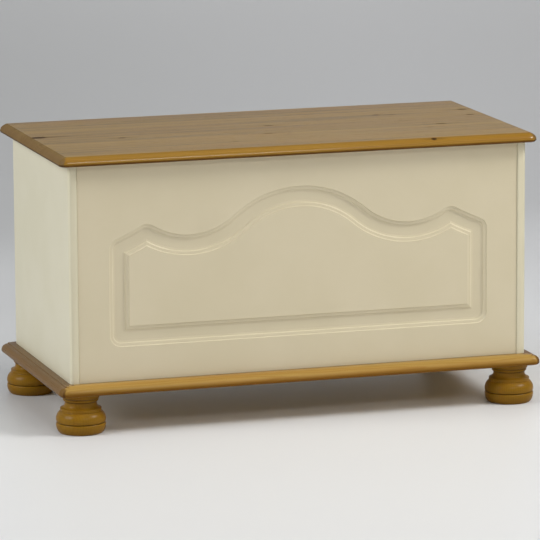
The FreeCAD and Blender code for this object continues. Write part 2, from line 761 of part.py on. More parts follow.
def side_rail():
    """An end of the frame, mitred to the front rail and cut square at the back."""
    body = new_body("base_rail_left")
    plan = sketch_on(body, "side_rail_plan", "XY_Plane")
    outline(plan, [
        (f"-{BLANK_X}", BLANK_Y), (f"-{MITRE_X}", MITRE_Y),
        (f"-{MITRE_X}", f"{BACK} + base_rear"), (f"-{BLANK_X}", f"{BACK} + base_rear"),
    ])
    pad(body, plan, "rail_height")
    place(body, "0", "0", "foot_height")
    moulded_edge(body, "side_rail", "rail_height", "base_projection", "base_rear")
    base_rail_holes(body, "side_rail",
                    [(f"-{SIDE_PANEL_MIDDLE}", y) for y in SIDE_SCREW_YS],
                    [(f"-{BOTTOM_SCREW_SIDE}", MIDDLE_Y)],
                    [(f"-{FOOT_X}", y) for y in (FOOT_FRONT, FOOT_BACK)])
    return body


def back_rail():
    body = new_body("base_rail_back")
    plan = sketch_on(body, "back_rail_plan", "XY_Plane")
    outline(plan, [
        (f"-{MITRE_X}", f"{BACK} - rail_inset"), (MITRE_X, f"{BACK} - rail_inset"),
        (MITRE_X, f"{BACK} + base_rear"), (f"-{MITRE_X}", f"{BACK} + base_rear"),
    ])
    pad(body, plan, "rail_height")
    place(body, "0", "0", "foot_height")
    base_rail_holes(body, "back_rail",
                    [(x, BACK_PANEL_MIDDLE) for x in BASE_SCREW_XS],
                    [(x, BOTTOM_SCREW_BACK) for x in BOTTOM_SCREW_XS],
                    [])
    return body


def corner_block(label, edge_y, inward):
    """A glued triangular block that ties two rails together, at the left end of the frame."""
    body = new_body(label)
    plan = sketch_on(body, label + "_plan", "XY_Plane")
    corners = [
        (f"-{MITRE_X}", edge_y),
        (f"-{MITRE_X} + block_leg", edge_y),
        (f"-{MITRE_X}", f"{edge_y} {inward} block_leg"),
    ]
    outline(plan, corners)
    pad(body, plan, "rail_height")
    place(body, "0", "0", "foot_height")
    return body


# ---------------------------------------------------------------- turned feet
def foot(label, x, y):
    """A bun foot, turned: sole, band, V groove, bulb, shoulder, lip, cavetto, bead, collar."""
    body = new_body(label)
    section = sketch_on(body, label + "_section", "XZ_Plane")
    bore = "(foot_height - foot_screw_in_foot - fastener_clearance)"
    outline(section, [
        ("0", "0"),
        ("foot_sole_radius", "0"),
        ("foot_sole_radius + foot_sole_round", "foot_sole_round", "foot_band_curve", -1),
        ("foot_band_radius", "foot_band_height", "foot_band_round", -1),
        ("foot_groove_radius", "foot_groove_height"),
        ("foot_band_radius - foot_quirk", "foot_groove_top", "foot_bulb_curve", -1),
        ("foot_shoulder_radius", "foot_shoulder_height"),
        ("foot_shoulder_radius - foot_quirk", "foot_shoulder_height"),
        ("foot_undercut_radius", "foot_undercut_height"),
        ("foot_lip_radius", "foot_lip_height - foot_lip_edge"),
        ("foot_lip_radius", "foot_lip_height", "foot_cavetto_curve", 1),
        ("foot_neck_radius", "foot_neck_height"),
        ("foot_neck_radius", "foot_neck_top"),
        ("foot_bead_low_radius", "foot_neck_top", "foot_bead_curve", -1),
        ("foot_bead_top_radius", "foot_bead_height"),
        ("foot_bead_top_radius", "foot_bead_height + foot_quirk"),
        ("foot_collar_radius", "foot_collar_height"),
        ("foot_top_radius", "foot_height"),
        (LOOSE_FOOT_SCREW, "foot_height"),
        (LOOSE_FOOT_SCREW, bore),
        ("0", bore),
    ])
    turned = body.newObject("PartDesign::Revolution", label + "_turned")
    turned.Profile = section
    turned.ReferenceAxis = (section, ["V_Axis"])
    turned.Angle = 360
    place(body, x, y)
    return body


# ---------------------------------------------------------------- lid
def lid_board():
    """A solid pine board. Its front and two ends are moulded, and its back edge is square."""
    body = new_body("lid_board")
    plan = sketch_on(body, "lid_plan", "XY_Plane")
    blank_x = f"({SIDE} + lid_projection + edge_allowance)"
    blank_front = f"({FRONT} - lid_projection - edge_allowance)"
    lid_back = f"({BACK} + lid_rear)"
    outline(plan, [
        (f"-{blank_x}", blank_front), (blank_x, blank_front),
        (blank_x, lid_back), (f"-{blank_x}", lid_back),
    ])
    pad(body, plan, "lid_thickness")
    place(body, "0", "0", LID_UNDER)
    moulded_edge(body, "lid", "lid_thickness", "lid_projection", "lid_rear")
    bores(body, "lid_hinge_screws", "XY_Plane", "0",
          [(x, f"{HINGE_Y} + lid_leaf_screw_reach") for x in HINGE_SCREW_XS],
          LOOSE_SMALL_SCREW, "small_screw_length - hinge_leaf")
    bores(body, "lid_bracket_screws", "XY_Plane", "0", BRACKET_SCREW_PLAN,
          LOOSE_SMALL_SCREW, "small_screw_length - bracket_plate")
    return body


# ---------------------------------------------------------------- hinges
KNUCKLES = 5
KNUCKLE_PITCH = f"(hinge_length / {KNUCKLES})"


def primitive(body, kind, name, sizes, x, y, z, turn=None):
    """A PartDesign box, cylinder or cone with bound sizes, at a bound place in the body."""
    feature = body.newObject(f"PartDesign::{kind}", name)
    for prop, text in sizes.items():
        bind(feature, prop, text)
    if turn:
        feature.AttachmentOffset = FreeCAD.Placement(FreeCAD.Vector(), turn)
    bind(feature, "AttachmentOffset.Base.x", x)
    bind(feature, "AttachmentOffset.Base.y", y)
    bind(feature, "AttachmentOffset.Base.z", z)
    plane = next(item for item in body.Origin.OriginFeatures if item.Role == "XY_Plane")
    feature.AttachmentSupport = (plane, [""])
    feature.MapMode = "FlatFace"
    return feature


def hinge_leaf(label, own, plate_size, plate_corner, heads):
    """One leaf at the left hinge: a plate and its share of the knuckles, around the axis.

    The body's origin is the middle of the hinge's axis. own holds this leaf's knuckles, and
    the plate is cut away around the others.
    """
    body = new_body(label)
    primitive(body, "AdditiveBox", label + "_plate",
              dict(zip(("Length", "Width", "Height"), plate_size)), *plate_corner)
    for i in range(KNUCKLES):
        start = f"(-hinge_length / 2 + {i} * {KNUCKLE_PITCH})"
        if i in own:
            primitive(body, "AdditiveCylinder", f"{label}_knuckle_{i}",
                      {"Radius": "knuckle_radius", "Height": f"{KNUCKLE_PITCH} - knuckle_gap"},
                      f"{start} + knuckle_gap / 2", "0", "0", HEAD_RIGHT)
        else:
            removes(body, lambda: primitive(
                body, "SubtractiveCylinder", f"{label}_notch_{i}",
                {"Radius": HINGE_OFFSET, "Height": f"{KNUCKLE_PITCH} + knuckle_gap"},
                f"{start} - knuckle_gap / 2", "0", "0", HEAD_RIGHT))
    removes(body, lambda: primitive(
        body, "SubtractiveCylinder", label + "_bore",
        {"Radius": "hinge_pin_radius + hinge_pin_fit", "Height": "2 * hinge_length"},
        "-hinge_length", "0", "0", HEAD_RIGHT))
    for i, (x, y, z, turn) in enumerate(heads):
        removes(body, lambda: primitive(
            body, "SubtractiveCone", f"{label}_countersink_{i}",
            {"Radius1": LOOSE_SMALL_SCREW,
             "Radius2": "small_screw_head_radius + fastener_clearance",
             "Height": "hinge_leaf"},
            x, y, z, turn))
    return body


def back_leaf():
    label = "hinge_leaf_back_left"
    steps = ("-hinge_screw_pitch", "0", "hinge_screw_pitch")
    heads = [(x, f"-{HINGE_OFFSET}", f"{HINGE_OFFSET} - {BACK_LEAF_SCREW_DROP}", HEAD_BACK)
             for x in steps]
    body = hinge_leaf(
        label, (0, 2, 4), ("hinge_length", "hinge_leaf", "back_leaf_width"),
        ("-hinge_length / 2", f"-{HINGE_OFFSET}", "-back_leaf_width"), heads)
    place(body, f"-{HINGE_X}", HINGE_Y, HINGE_Z)
    return body


def lid_leaf():
    label = "hinge_leaf_lid_left"
    steps = ("-hinge_screw_pitch", "0", "hinge_screw_pitch")
    heads = [(x, "lid_leaf_screw_reach", HINGE_OFFSET, UPSIDE_DOWN) for x in steps]
    body = hinge_leaf(
        label, (1, 3), ("hinge_length", "lid_leaf_width", "hinge_leaf"),
        ("-hinge_length / 2", "0", f"{HINGE_OFFSET} - hinge_leaf"), heads)
    place(body, f"-{HINGE_X}", HINGE_Y, HINGE_Z)
    return body


# ---------------------------------------------------------------- stays
def stay_stud():
    """A shoulder screw in the side panel: spigot, flange, shank in the slot, and head."""
    body = new_body("stay_stud_left")
    section = sketch_on(body, "stud_section", "XZ_Plane")
    flange = "(stay_gap - stay_side_clearance)"
    head = "(stay_gap + stay_thickness + stay_side_clearance)"
    outline(section, [
        ("0", "-stud_spigot_depth + fastener_clearance"),
        ("stud_spigot_radius", "-stud_spigot_depth + fastener_clearance"),
        ("stud_spigot_radius", "0"),
        ("stud_flange_radius", "0"),
        ("stud_flange_radius", f"{flange} - stud_chamfer"),
        ("stud_flange_radius - stud_chamfer", flange),
        ("stud_radius", flange),
        ("stud_radius", head),
        ("stud_head_radius", head),
        ("stud_head_radius", f"{head} + stud_head_height - stud_chamfer"),
        ("stud_head_radius - stud_chamfer", f"{head} + stud_head_height"),
        ("0", f"{head} + stud_head_height"),
    ])
    turned = body.newObject("PartDesign::Revolution", "stud_turned")
    turned.Profile = section
    turned.ReferenceAxis = (section, ["V_Axis"])
    turned.Angle = 360
    slot = sketch_on(body, "stud_slot", "XY_Plane", f"{head} + stud_head_height")
    outline(slot, [
        ("-stud_head_radius", "-stud_slot_width / 2"), ("stud_head_radius", "-stud_slot_width / 2"),
        ("stud_head_radius", "stud_slot_width / 2"), ("-stud_head_radius", "stud_slot_width / 2"),
    ])
    pocket(body, slot, "stud_head_height / 2")
    body.Placement = FreeCAD.Placement(FreeCAD.Vector(), HEAD_RIGHT)
    place(body, f"-{INNER_SIDE}", STUD_Y, STUD_Z)
    return body


def stay_arm():
    """The slotted arm, drawn hanging from its pivot and then leaned back to the stud."""
    body = new_body("stay_arm_left")
    half = "(stay_width / 2)"
    slot_half = "(stud_radius + stay_slot_clearance)"
    tip = f"({SLOT_END} + {half} - {slot_half})"
    bar = sketch_on(body, "arm_bar", "YZ_Plane")
    outline(bar, [(half, "0"), (f"-{half}", "0"), (f"-{half}", f"-{tip}"), (half, f"-{tip}")])
    pad(body, bar, "stay_thickness")
    round_ends = sketch_on(body, "arm_ends", "YZ_Plane")
    circles(round_ends, [("0", "0"), ("0", f"-{tip}")], half)
    pad(body, round_ends, "stay_thickness")
    bores(body, "arm_slot_ends", "YZ_Plane", "0",
          [("0", f"-{SLOT_START}"), ("0", f"-{SLOT_END}")], slot_half, "stay_thickness")
    slot = sketch_on(body, "arm_slot", "YZ_Plane")
    outline(slot, [
        (slot_half, f"-{SLOT_START}"), (f"-{slot_half}", f"-{SLOT_START}"),
        (f"-{slot_half}", f"-{SLOT_END}"), (slot_half, f"-{SLOT_END}"),
    ])
    pocket(body, slot, "stay_thickness", along_normal=True)
    bores(body, "arm_pivot", "YZ_Plane", "0", [("0", "0")],
          "rivet_radius + rivet_fit", "stay_thickness")
    body.Placement = FreeCAD.Placement(
        FreeCAD.Vector(), FreeCAD.Rotation(FreeCAD.Vector(1, 0, 0), 1))
    bind(body, "Placement.Rotation.Angle", f"stay_angle / 2 * 1 deg + {PIVOT_ANGLE}")
    place(body, STAY_OUTER, PIVOT_Y, PIVOT_Z)
    return body


def stay_bracket():
    """A pressed angle under the lid: a plate with two screws, and an ear for the pivot."""
    body = new_body("stay_bracket_left")
    ear = sketch_on(body, "bracket_ear", "YZ_Plane")
    outline(ear, [
        ("bracket_length / 2", "stay_drop"), ("-bracket_length / 2", "stay_drop"),
        ("-bracket_length / 2", "stay_drop - bracket_plate"),
        ("-bracket_ear_radius", "0"), ("bracket_ear_radius", "0"),
        ("bracket_length / 2", "stay_drop - bracket_plate"),
    ])
    pad(body, ear, "bracket_plate")
    ear_end = sketch_on(body, "bracket_ear_end", "YZ_Plane")
    circles(ear_end, [("0", "0")], "bracket_ear_radius")
    pad(body, ear_end, "bracket_plate")
    plate = sketch_on(body, "bracket_plan", "XY_Plane", "stay_drop - bracket_plate")
    outline(plate, [
        ("0", "-bracket_length / 2"), ("bracket_width", "-bracket_length / 2"),
        ("bracket_width", "bracket_length / 2"), ("0", "bracket_length / 2"),
    ])
    pad(body, plate, "bracket_plate")
    bores(body, "bracket_pivot", "YZ_Plane", "0", [("0", "0")],
          "rivet_radius + fastener_clearance / 2", "bracket_plate")
    for i, y in enumerate(signed(["bracket_screw_pitch / 2"])):
        removes(body, lambda: primitive(
            body, "SubtractiveCone", f"bracket_countersink_{i}",
            {"Radius1": LOOSE_SMALL_SCREW,
             "Radius2": "small_screw_head_radius + fastener_clearance",
             "Height": "bracket_plate"},
            "bracket_width / 2 + bracket_plate / 2", y, "stay_drop", UPSIDE_DOWN))
    place(body, EAR_OUTER, PIVOT_Y, PIVOT_Z)
    return body


def stay_rivet():
    """The pivot: a rivet through the bracket's ear and the arm, with a head at each end."""
    body = new_body("stay_rivet_left")
    section = sketch_on(body, "rivet_section", "XZ_Plane")
    start = "(-stay_side_clearance)"
    end = "(stay_thickness + stay_side_clearance + bracket_plate)"
    outline(section, [
        ("0", f"{start} - rivet_head_height"),
        ("rivet_head_radius - rivet_chamfer", f"{start} - rivet_head_height"),
        ("rivet_head_radius", f"{start} - rivet_head_height + rivet_chamfer"),
        ("rivet_head_radius", start),
        ("rivet_radius", start),
        ("rivet_radius", end),
        ("rivet_head_radius", end),
        ("rivet_head_radius", f"{end} + rivet_head_height - rivet_chamfer"),
        ("rivet_head_radius - rivet_chamfer", f"{end} + rivet_head_height"),
        ("0", f"{end} + rivet_head_height"),
    ])
    turned = body.newObject("PartDesign::Revolution", "rivet_turned")
    turned.Profile = section
    turned.ReferenceAxis = (section, ["V_Axis"])
    turned.Angle = 360
    body.Placement = FreeCAD.Placement(FreeCAD.Vector(), HEAD_RIGHT)
    place(body, STAY_OUTER, PIVOT_Y, PIVOT_Z)
    return body


BRACKET_SCREW_X = f"({EAR_OUTER} + bracket_width / 2 + bracket_plate / 2)"
BRACKET_SCREW_PLAN = [
    (f"{sign}{BRACKET_SCREW_X}", f"{PIVOT_Y} {step} bracket_screw_pitch / 2")
    for sign in ("", "-") for step in ("-", "+")
]


# ---------------------------------------------------------------- fasteners
def turned_template(label, corners):
    """A turned fastener along Z, for copies. It is not a node of its own."""
    body = new_body(label)
    section = sketch_on(body, label + "_section", "XZ_Plane")
    outline(section, corners)
    turned = body.newObject("PartDesign::Revolution", label + "_turned")
    turned.Profile = section
    turned.ReferenceAxis = (section, ["V_Axis"])
    turned.Angle = 360
    return body


def screw_template(label, radius, head_radius, head_height, length):
    """A countersunk wood screw: the head's face is at the origin and the point is below."""
    return turned_template(label, [
        ("0", f"-{length}"),
        (radius, f"-{length} + 2 * {radius}"),
        (radius, f"-{head_height}"),
        (head_radius, "0"),
        ("0", "0"),
    ])


def fasteners():
    small = ("small_screw_radius", "small_screw_head_radius", "small_screw_head_height")
    hinge_screw = screw_template("hinge_screw", *small, "small_screw_length")
    bottom_screw = screw_template("bottom_screw", *small, "bottom_screw_length")
    base_screw = screw_template("base_screw", "base_screw_radius", "base_screw_head_radius",
                                "base_screw_head_height", "base_screw_length")
    foot_screw = turned_template("foot_screw", [
        ("0", "-foot_screw_in_foot"),
        ("foot_screw_radius", "-foot_screw_in_foot + foot_screw_radius"),
        ("foot_screw_radius", "foot_screw_in_rail - foot_screw_radius"),
        ("0", "foot_screw_in_rail"),
    ])
    bolt_end = "cam_inset - cam_radius - cam_bolt_gap"
    cam_bolt = turned_template("cam_bolt", [
        ("0", "-cam_bolt_bite"), ("cam_bolt_radius", "-cam_bolt_bite"),
        ("cam_bolt_radius", bolt_end), ("0", bolt_end),
    ])
    dowel = turned_template("dowel", [
        ("0", "-dowel_bite"), ("dowel_radius - dowel_chamfer", "-dowel_bite"),
        ("dowel_radius", "-dowel_bite + dowel_chamfer"),
        ("dowel_radius", "dowel_reach - dowel_chamfer"),
        ("dowel_radius - dowel_chamfer", "dowel_reach"), ("0", "dowel_reach"),
    ])
    cam = turned_template("cam", [
        ("0", "-cam_depth + fastener_clearance"), ("cam_radius", "-cam_depth + fastener_clearance"),
        ("cam_radius", "0"), ("0", "0"),
    ])
    slot = sketch_on(cam, "cam_slot", "XY_Plane")
    outline(slot, [
        ("-cam_slot_length / 2", "-cam_slot_width / 2"), ("cam_slot_length / 2", "-cam_slot_width / 2"),
        ("cam_slot_length / 2", "cam_slot_width / 2"), ("-cam_slot_length / 2", "cam_slot_width / 2"),
    ])
    pocket(cam, slot, "cam_slot_depth")

    nodes = []
    long_screws = (
        [(x, y) for y in (FRONT_PANEL_MIDDLE, BACK_PANEL_MIDDLE) for x in BASE_SCREW_XS]
        + [(x, y) for x in signed([SIDE_PANEL_MIDDLE]) for y in SIDE_SCREW_YS]
    )
    nodes.append(group("base_screws", base_screw,
                       [((x, y, "foot_height"), UPSIDE_DOWN) for x, y in long_screws]))
    nodes.append(group("bottom_screws", bottom_screw,
                       [((x, y, f"{BASE_TOP} + bottom_board"), UPRIGHT)
                        for x, y in BOTTOM_SCREW_PLAN]))
    nodes.append(group("foot_screws", foot_screw,
                       [((x, y, "foot_height"), UPRIGHT)
                        for x in signed([FOOT_X]) for y in (FOOT_FRONT, FOOT_BACK)]))
    inner_faces = ((FRONT_INNER, FRONT_PANEL_MIDDLE, HEAD_BACK, PANEL_HALF),
                   (BACK_INNER, BACK_PANEL_MIDDLE, HEAD_FRONT, INNER_SIDE))
    cams, bolts, pegs = [], [], []
    for face, middle, turn, half in inner_faces:
        for sign, along in (("-", HEAD_RIGHT), ("", HEAD_LEFT)):
            for z in CAM_HEIGHTS:
                height = f"{BASE_TOP} + {z}"
                cams.append(((f"{sign}({half} - cam_inset)", face, height), turn))
                bolts.append(((f"{sign}{INNER_SIDE}", middle, height), along))
            for z in DOWEL_HEIGHTS:
                pegs.append(((f"{sign}{INNER_SIDE}", middle, f"{BASE_TOP} + {z}"), along))
    nodes.append(group("cam_locks", cam, cams))
    nodes.append(group("cam_bolts", cam_bolt, bolts))
    nodes.append(group("dowels", dowel, pegs))
    nodes.append(group("hinge_screws_back", hinge_screw,
                       [((x, f"{BACK} + hinge_leaf", f"{LID_UNDER} - {BACK_LEAF_SCREW_DROP}"),
                         HEAD_BACK) for x in HINGE_SCREW_XS]))
    nodes.append(group("hinge_screws_lid", hinge_screw,
                       [((x, f"{HINGE_Y} + lid_leaf_screw_reach", f"{LID_UNDER} - hinge_leaf"),
                         UPSIDE_DOWN) for x in HINGE_SCREW_XS]))
    nodes.append(group("bracket_screws", hinge_screw,
                       [((x, y, f"{LID_UNDER} - bracket_plate"), UPSIDE_DOWN)
                        for x, y in BRACKET_SCREW_PLAN]))
    pin = turned_template("hinge_pin", [
        ("0", "-hinge_length / 2 - hinge_pin_end"),
        ("hinge_pin_radius", "-hinge_length / 2 - hinge_pin_end"),
        ("hinge_pin_radius", "hinge_length / 2 + hinge_pin_end"),
        ("0", "hinge_length / 2 + hinge_pin_end"),
    ])
    nodes.append(group("hinge_pins", pin,
                       [((x, HINGE_Y, HINGE_Z), HEAD_RIGHT) for x in signed([HINGE_X])]))
    return nodes


# ---------------------------------------------------------------- assembly
def build():
    nodes = [front_panel(), back_panel(), bottom_panel(), front_rail(), back_rail(), lid_board()]
    left = [
        side_panel(),
        side_rail(),
        corner_block("corner_block_front_left", MITRE_Y, "+"),
        corner_block("corner_block_back_left", f"({BACK} - rail_inset)", "-"),
        foot("foot_front_left", f"-{FOOT_X}", FOOT_FRONT),
        foot("foot_back_left", f"-{FOOT_X}", FOOT_BACK),
        back_leaf(),
        lid_leaf(),
        stay_stud(),
        stay_arm(),
        stay_bracket(),
        stay_rivet(),
    ]
    right = [mirrored(piece, piece.Label.replace("_left", "_right")) for piece in left]
    nodes += left + right + fasteners()
    doc.recompute()
    return nodes


def check_and_write(nodes):
    for item in doc.Objects:
        if "Invalid" in item.State or "Error" in item.State:
            raise RuntimeError(f"{item.Name} failed: {item.State}")
    for piece in nodes:
        shape = piece.Shape
        if shape.isNull() or not shape.isValid() or not shape.Solids:
            raise RuntimeError(f"{piece.Label} has no valid solid")
    os.makedirs("parts", exist_ok=True)
    for piece in nodes:
        piece.Shape.exportStep(f"parts/{piece.Label}.step")


check_and_write(build())
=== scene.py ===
import math

import bmesh
import bpy
from mathutils import Matrix, Vector


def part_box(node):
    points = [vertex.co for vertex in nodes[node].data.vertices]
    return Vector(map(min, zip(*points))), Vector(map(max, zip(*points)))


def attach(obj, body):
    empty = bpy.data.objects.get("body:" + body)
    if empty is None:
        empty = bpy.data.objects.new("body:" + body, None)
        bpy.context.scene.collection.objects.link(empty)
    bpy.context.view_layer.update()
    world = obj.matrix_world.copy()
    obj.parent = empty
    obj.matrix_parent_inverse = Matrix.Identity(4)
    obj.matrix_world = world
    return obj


# A blanket chest with a lacquered box, a pine base, turned pine feet and a pine lid.
# Metres, in the frame of the CAD model: X along the chest, -Y its front, Z up from the floor.

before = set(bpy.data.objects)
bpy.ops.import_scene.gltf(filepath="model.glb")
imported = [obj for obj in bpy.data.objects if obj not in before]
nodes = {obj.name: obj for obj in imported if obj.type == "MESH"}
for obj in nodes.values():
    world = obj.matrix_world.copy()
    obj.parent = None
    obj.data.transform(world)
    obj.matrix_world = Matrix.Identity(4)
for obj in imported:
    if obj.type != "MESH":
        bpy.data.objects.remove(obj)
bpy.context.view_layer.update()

MM = 0.001

# The view of the photograph, as a camera on a stand to the left of the chest's front.
CAMERA_PLACE = Vector((-2.187, -6.982, 1.5764))
CAMERA_TURN = 17.42              # degrees to the right of straight ahead
CAMERA_TILT = 10.50              # degrees down
CAMERA_ROLL = -0.32              # degrees
CAMERA_LENS = 289.7              # mm
CAMERA_SENSOR = 36.0             # mm
CAMERA_REACH = 100.0

# Where things are on the chest.
LID_LOW, LID_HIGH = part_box("lid_board")
BOX_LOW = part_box("side_panel_left")[0]
BOX_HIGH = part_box("side_panel_right")[1]
BASE_LOW, BASE_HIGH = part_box("base_rail_front")
BASE_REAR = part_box("base_rail_left")[1].y
BOARD = 15.0 * MM                # thickness of a side panel


# ---------------------------------------------------------------- colours and node trees
def colour(red, green, blue):
    """A colour given as it looks on screen, 0 to 255, as Blender's linear one."""
    def linear(value):
        part = value / 255
        return part / 12.92 if part <= 0.04045 else ((part + 0.055) / 1.055) ** 2.4

    return (linear(red), linear(green), linear(blue), 1.0)


class Finish:
    """A procedural material, and short names for the nodes that it is made of."""

    def __init__(self, name):
        self.material = bpy.data.materials.new(name)
        self.material.use_nodes = True
        self.tree = self.material.node_tree
        self.tree.nodes.clear()
        self.shader = self.node("ShaderNodeBsdfPrincipled")
        output = self.node("ShaderNodeOutputMaterial")
        self.tree.links.new(self.shader.outputs["BSDF"], output.inputs["Surface"])
        coordinates = self.node("ShaderNodeTexCoord")
        self.place = coordinates.outputs["Object"]
        self.facing = coordinates.outputs["Normal"]

    def node(self, kind, **settings):
        made = self.tree.nodes.new(kind)
        for name, value in settings.items():
            setattr(made, name, value)
        return made

    def feed(self, socket, value):
        """Set an input to a number or a colour, or link it to another node's output."""
        if isinstance(value, bpy.types.NodeSocket):
            self.tree.links.new(value, socket)
        else:
            socket.default_value = value

    def math(self, operation, *values, clamp=False):
        made = self.node("ShaderNodeMath", operation=operation, use_clamp=clamp)
        for socket, value in zip(made.inputs, values):
            self.feed(socket, value)
        return made.outputs[0]

    def add(self, first, *others):
        total = first
        for other in others:
            total = self.math("ADD", total, other)
        return total

    def subtract(self, value, taken, clamp=False):
        return self.math("SUBTRACT", value, taken, clamp=clamp)

    def multiply(self, first, *others):
        product = first
        for other in others:
            product = self.math("MULTIPLY", product, other)
        return product

    def divide(self, value, divisor):
        return self.math("DIVIDE", value, divisor)

    def size(self, value):
        return self.math("ABSOLUTE", value)

    def larger(self, first, second):
        return self.math("MAXIMUM", first, second)

    def distance(self, *offsets):
        """The length of a vector given by its components."""
        squares = [self.multiply(offset, offset) for offset in offsets]
        return self.math("SQRT", self.add(*squares))

    def split(self, vector):
        made = self.node("ShaderNodeSeparateXYZ")
        self.feed(made.inputs[0], vector)
        return made.outputs

    def join(self, x, y, z):
        made = self.node("ShaderNodeCombineXYZ")
        for socket, value in zip(made.inputs, (x, y, z)):
            self.feed(socket, value)
        return made.outputs[0]

    def noise(self, vector, scale, detail=2.0, roughness=0.5):
        made = self.node("ShaderNodeTexNoise")
        self.feed(made.inputs["Vector"], vector)
        made.inputs["Scale"].default_value = scale
        made.inputs["Detail"].default_value = detail
        made.inputs["Roughness"].default_value = roughness
        return made.outputs["Fac"]

    def drawn_noise(self, vector, rate, detail, roughness):
        """Noise drawn out along X. rate is how often it changes along X and across it."""
        made = self.node("ShaderNodeMapping")
        self.feed(made.inputs["Vector"], vector)
        along, across = rate
        made.inputs["Scale"].default_value = (along, across, across)
        return self.noise(made.outputs[0], 1.0, detail, roughness)

    def fade(self, value, low, high, to_low=0.0, to_high=1.0):
        """A smooth step of value: to_low below low, to_high above high."""
        made = self.node("ShaderNodeMapRange", interpolation_type="SMOOTHSTEP")
        for name, number in (("Value", value), ("From Min", low), ("From Max", high),
                             ("To Min", to_low), ("To Max", to_high)):
            self.feed(made.inputs[name], number)
        return made.outputs[0]

    def fade_out(self, value, low, high, full=1.0):
        """A smooth step down: full below low, nothing above high."""
        return self.fade(value, low, high, full, 0.0)

    def blend(self, amount, first, second, mode="MIX"):
        made = self.node("ShaderNodeMix", data_type="RGBA", blend_type=mode)
        self.feed(made.inputs["Factor"], amount)
        self.feed(made.inputs[6], first)
        self.feed(made.inputs[7], second)
        return made.outputs[2]

    def tint(self, amount, shade, tone):
        """The shade, multiplied by the tone where amount is 1."""
        return self.blend(amount, shade, tone, mode="MULTIPLY")

    def blend_vectors(self, amount, first, second):
        made = self.node("ShaderNodeMix", data_type="VECTOR")
        self.feed(made.inputs["Factor"], amount)
        self.feed(made.inputs[4], first)
        self.feed(made.inputs[5], second)
        return made.outputs[1]

    def bump(self, height, distance, strength=1.0, under=None):
        made = self.node("ShaderNodeBump")
        made.inputs["Strength"].default_value = strength
        made.inputs["Distance"].default_value = distance
        self.feed(made.inputs["Height"], height)
        if under is not None:
            self.feed(made.inputs["Normal"], under)
        return made.outputs[0]

    def set(self, **values):
        """Set the shader's own inputs. Words in their names are joined with _."""
        for name, value in values.items():
            self.feed(self.shader.inputs[name.replace("_", " ")], value)


# ---------------------------------------------------------------- wood
# Each stain has a pale and a deep end, which the grain blends.
GOLD = colour(150, 113, 44), colour(126, 87, 19)
# Painted highlight: a paler copy of the gold stain for the front rail, standing in for its
# varnish's sheen.
GOLD_PAINTED_SHEEN = colour(174, 142, 76), colour(148, 110, 44)
BROWN = colour(122, 96, 56), colour(104, 77, 38)
UMBER = colour(120, 89, 45), colour(100, 71, 30)
HONEY = colour(143, 105, 29), colour(116, 81, 10)
PLAIN = colour(222, 190, 138), colour(196, 156, 100)
RAW = colour(226, 198, 150), colour(206, 170, 116)

STAVE_JOINT = colour(168, 140, 100)
KNOT_WOOD = colour(52, 30, 16)
PAINTED_SHADOW = colour(92, 66, 26)
GROOVE_STAIN_AND_SHADE = colour(70, 45, 6)

# Tones multiply a stain.
HEARTWOOD_TONE = (1.06, 0.90, 0.80, 1.0)
# Painted reflection: this tints the lid's flat top greyer.
LID_TOP_PAINTED_REFLECTION = (0.85, 0.93, 0.81, 1.0)
STREAK_TONE = (0.62, 0.60, 0.54, 1.0)
# Painted shade: these tones darken the faces that look downwards.
PAINTED_UNDER_SHADE = (0.42, 0.33, 0.14, 1.0)
FRONT_PAINTED_UNDER_SHADE = (0.50, 0.36, 0.12, 1.0)
SIDE_PAINTED_UNDER_SHADE = (0.82, 0.78, 0.74, 1.0)
FOOT_PAINTED_UNDER_SHADE = (0.86, 0.82, 0.74, 1.0)

# Noises in the wood: how often each changes in a metre along the grain and across it.
WANDER_RATE = (2.6, 9.0)         # slow bends of the growth rings
RIPPLE_RATE = (14.0, 60.0)       # small waves in them
FIBRE_RATE = (18.0, 1500.0)
CLOUD_RATE = (2.2, 42.0)         # patches that took up more stain
HEARTWOOD_RATE = (2.72, 44.2)
STREAK_RATE = (1.8, 85.0)        # dark streaks on the lid's top
WANDER_SIZE = 30.0 * MM
RIPPLE_SIZE = 3.5 * MM

# What each part of the figure adds to the blend from pale to deep, and the blend's middle.
RING_SHARE = 0.30
RING_AVERAGE = 0.10              # what RING_SHARE comes to over a whole ring
FIBRE_SHARE = 0.28
CLOUD_SHARE = 0.80
STAVE_SHARE = 0.16
BLEND_MIDDLE = 0.42

# Where the noises start and stop to show, and how strongly.
HEARTWOOD_SPREAD, HEARTWOOD_STRENGTH = (0.45, 0.75), 0.5
STREAK_SPREAD = (0.42, 0.66)
FIBRE_SPREAD = (0.2, 0.8)

# Each stave of a board is cut from another stretch of wood, up to this far off.
STAVE_SHIFT_ALONG = 3.7
STAVE_SHIFT_ACROSS = 0.23
STAVE_JOINT_EDGE = (0.1 * MM, 0.5 * MM)
STAVE_JOINT_STRENGTH = 0.30

# How the dark late wood of a ring comes and goes, with a ring from 0 to 1.
LATE_WOOD_COMES = (0.25, 0.86)
LATE_WOOD_GOES = (0.90, 1.0)

# A knot, in its own radii.
KNOT_STRETCH = 1.8               # its length along the grain over its width
KNOT_EDGE = (0.5, 1.25)
SWIRL_REACH = 5.0                # how far off it pushes the rings
SWIRL_PUSH = 1.6                 # and how far it pushes them
FLARE_NARROWING = 2.4            # the dark flare at its ends, against the knot
FLARE_DRAWING = 0.42
FLARE_REACH = 2.4
FLARE_STRENGTH = 0.45

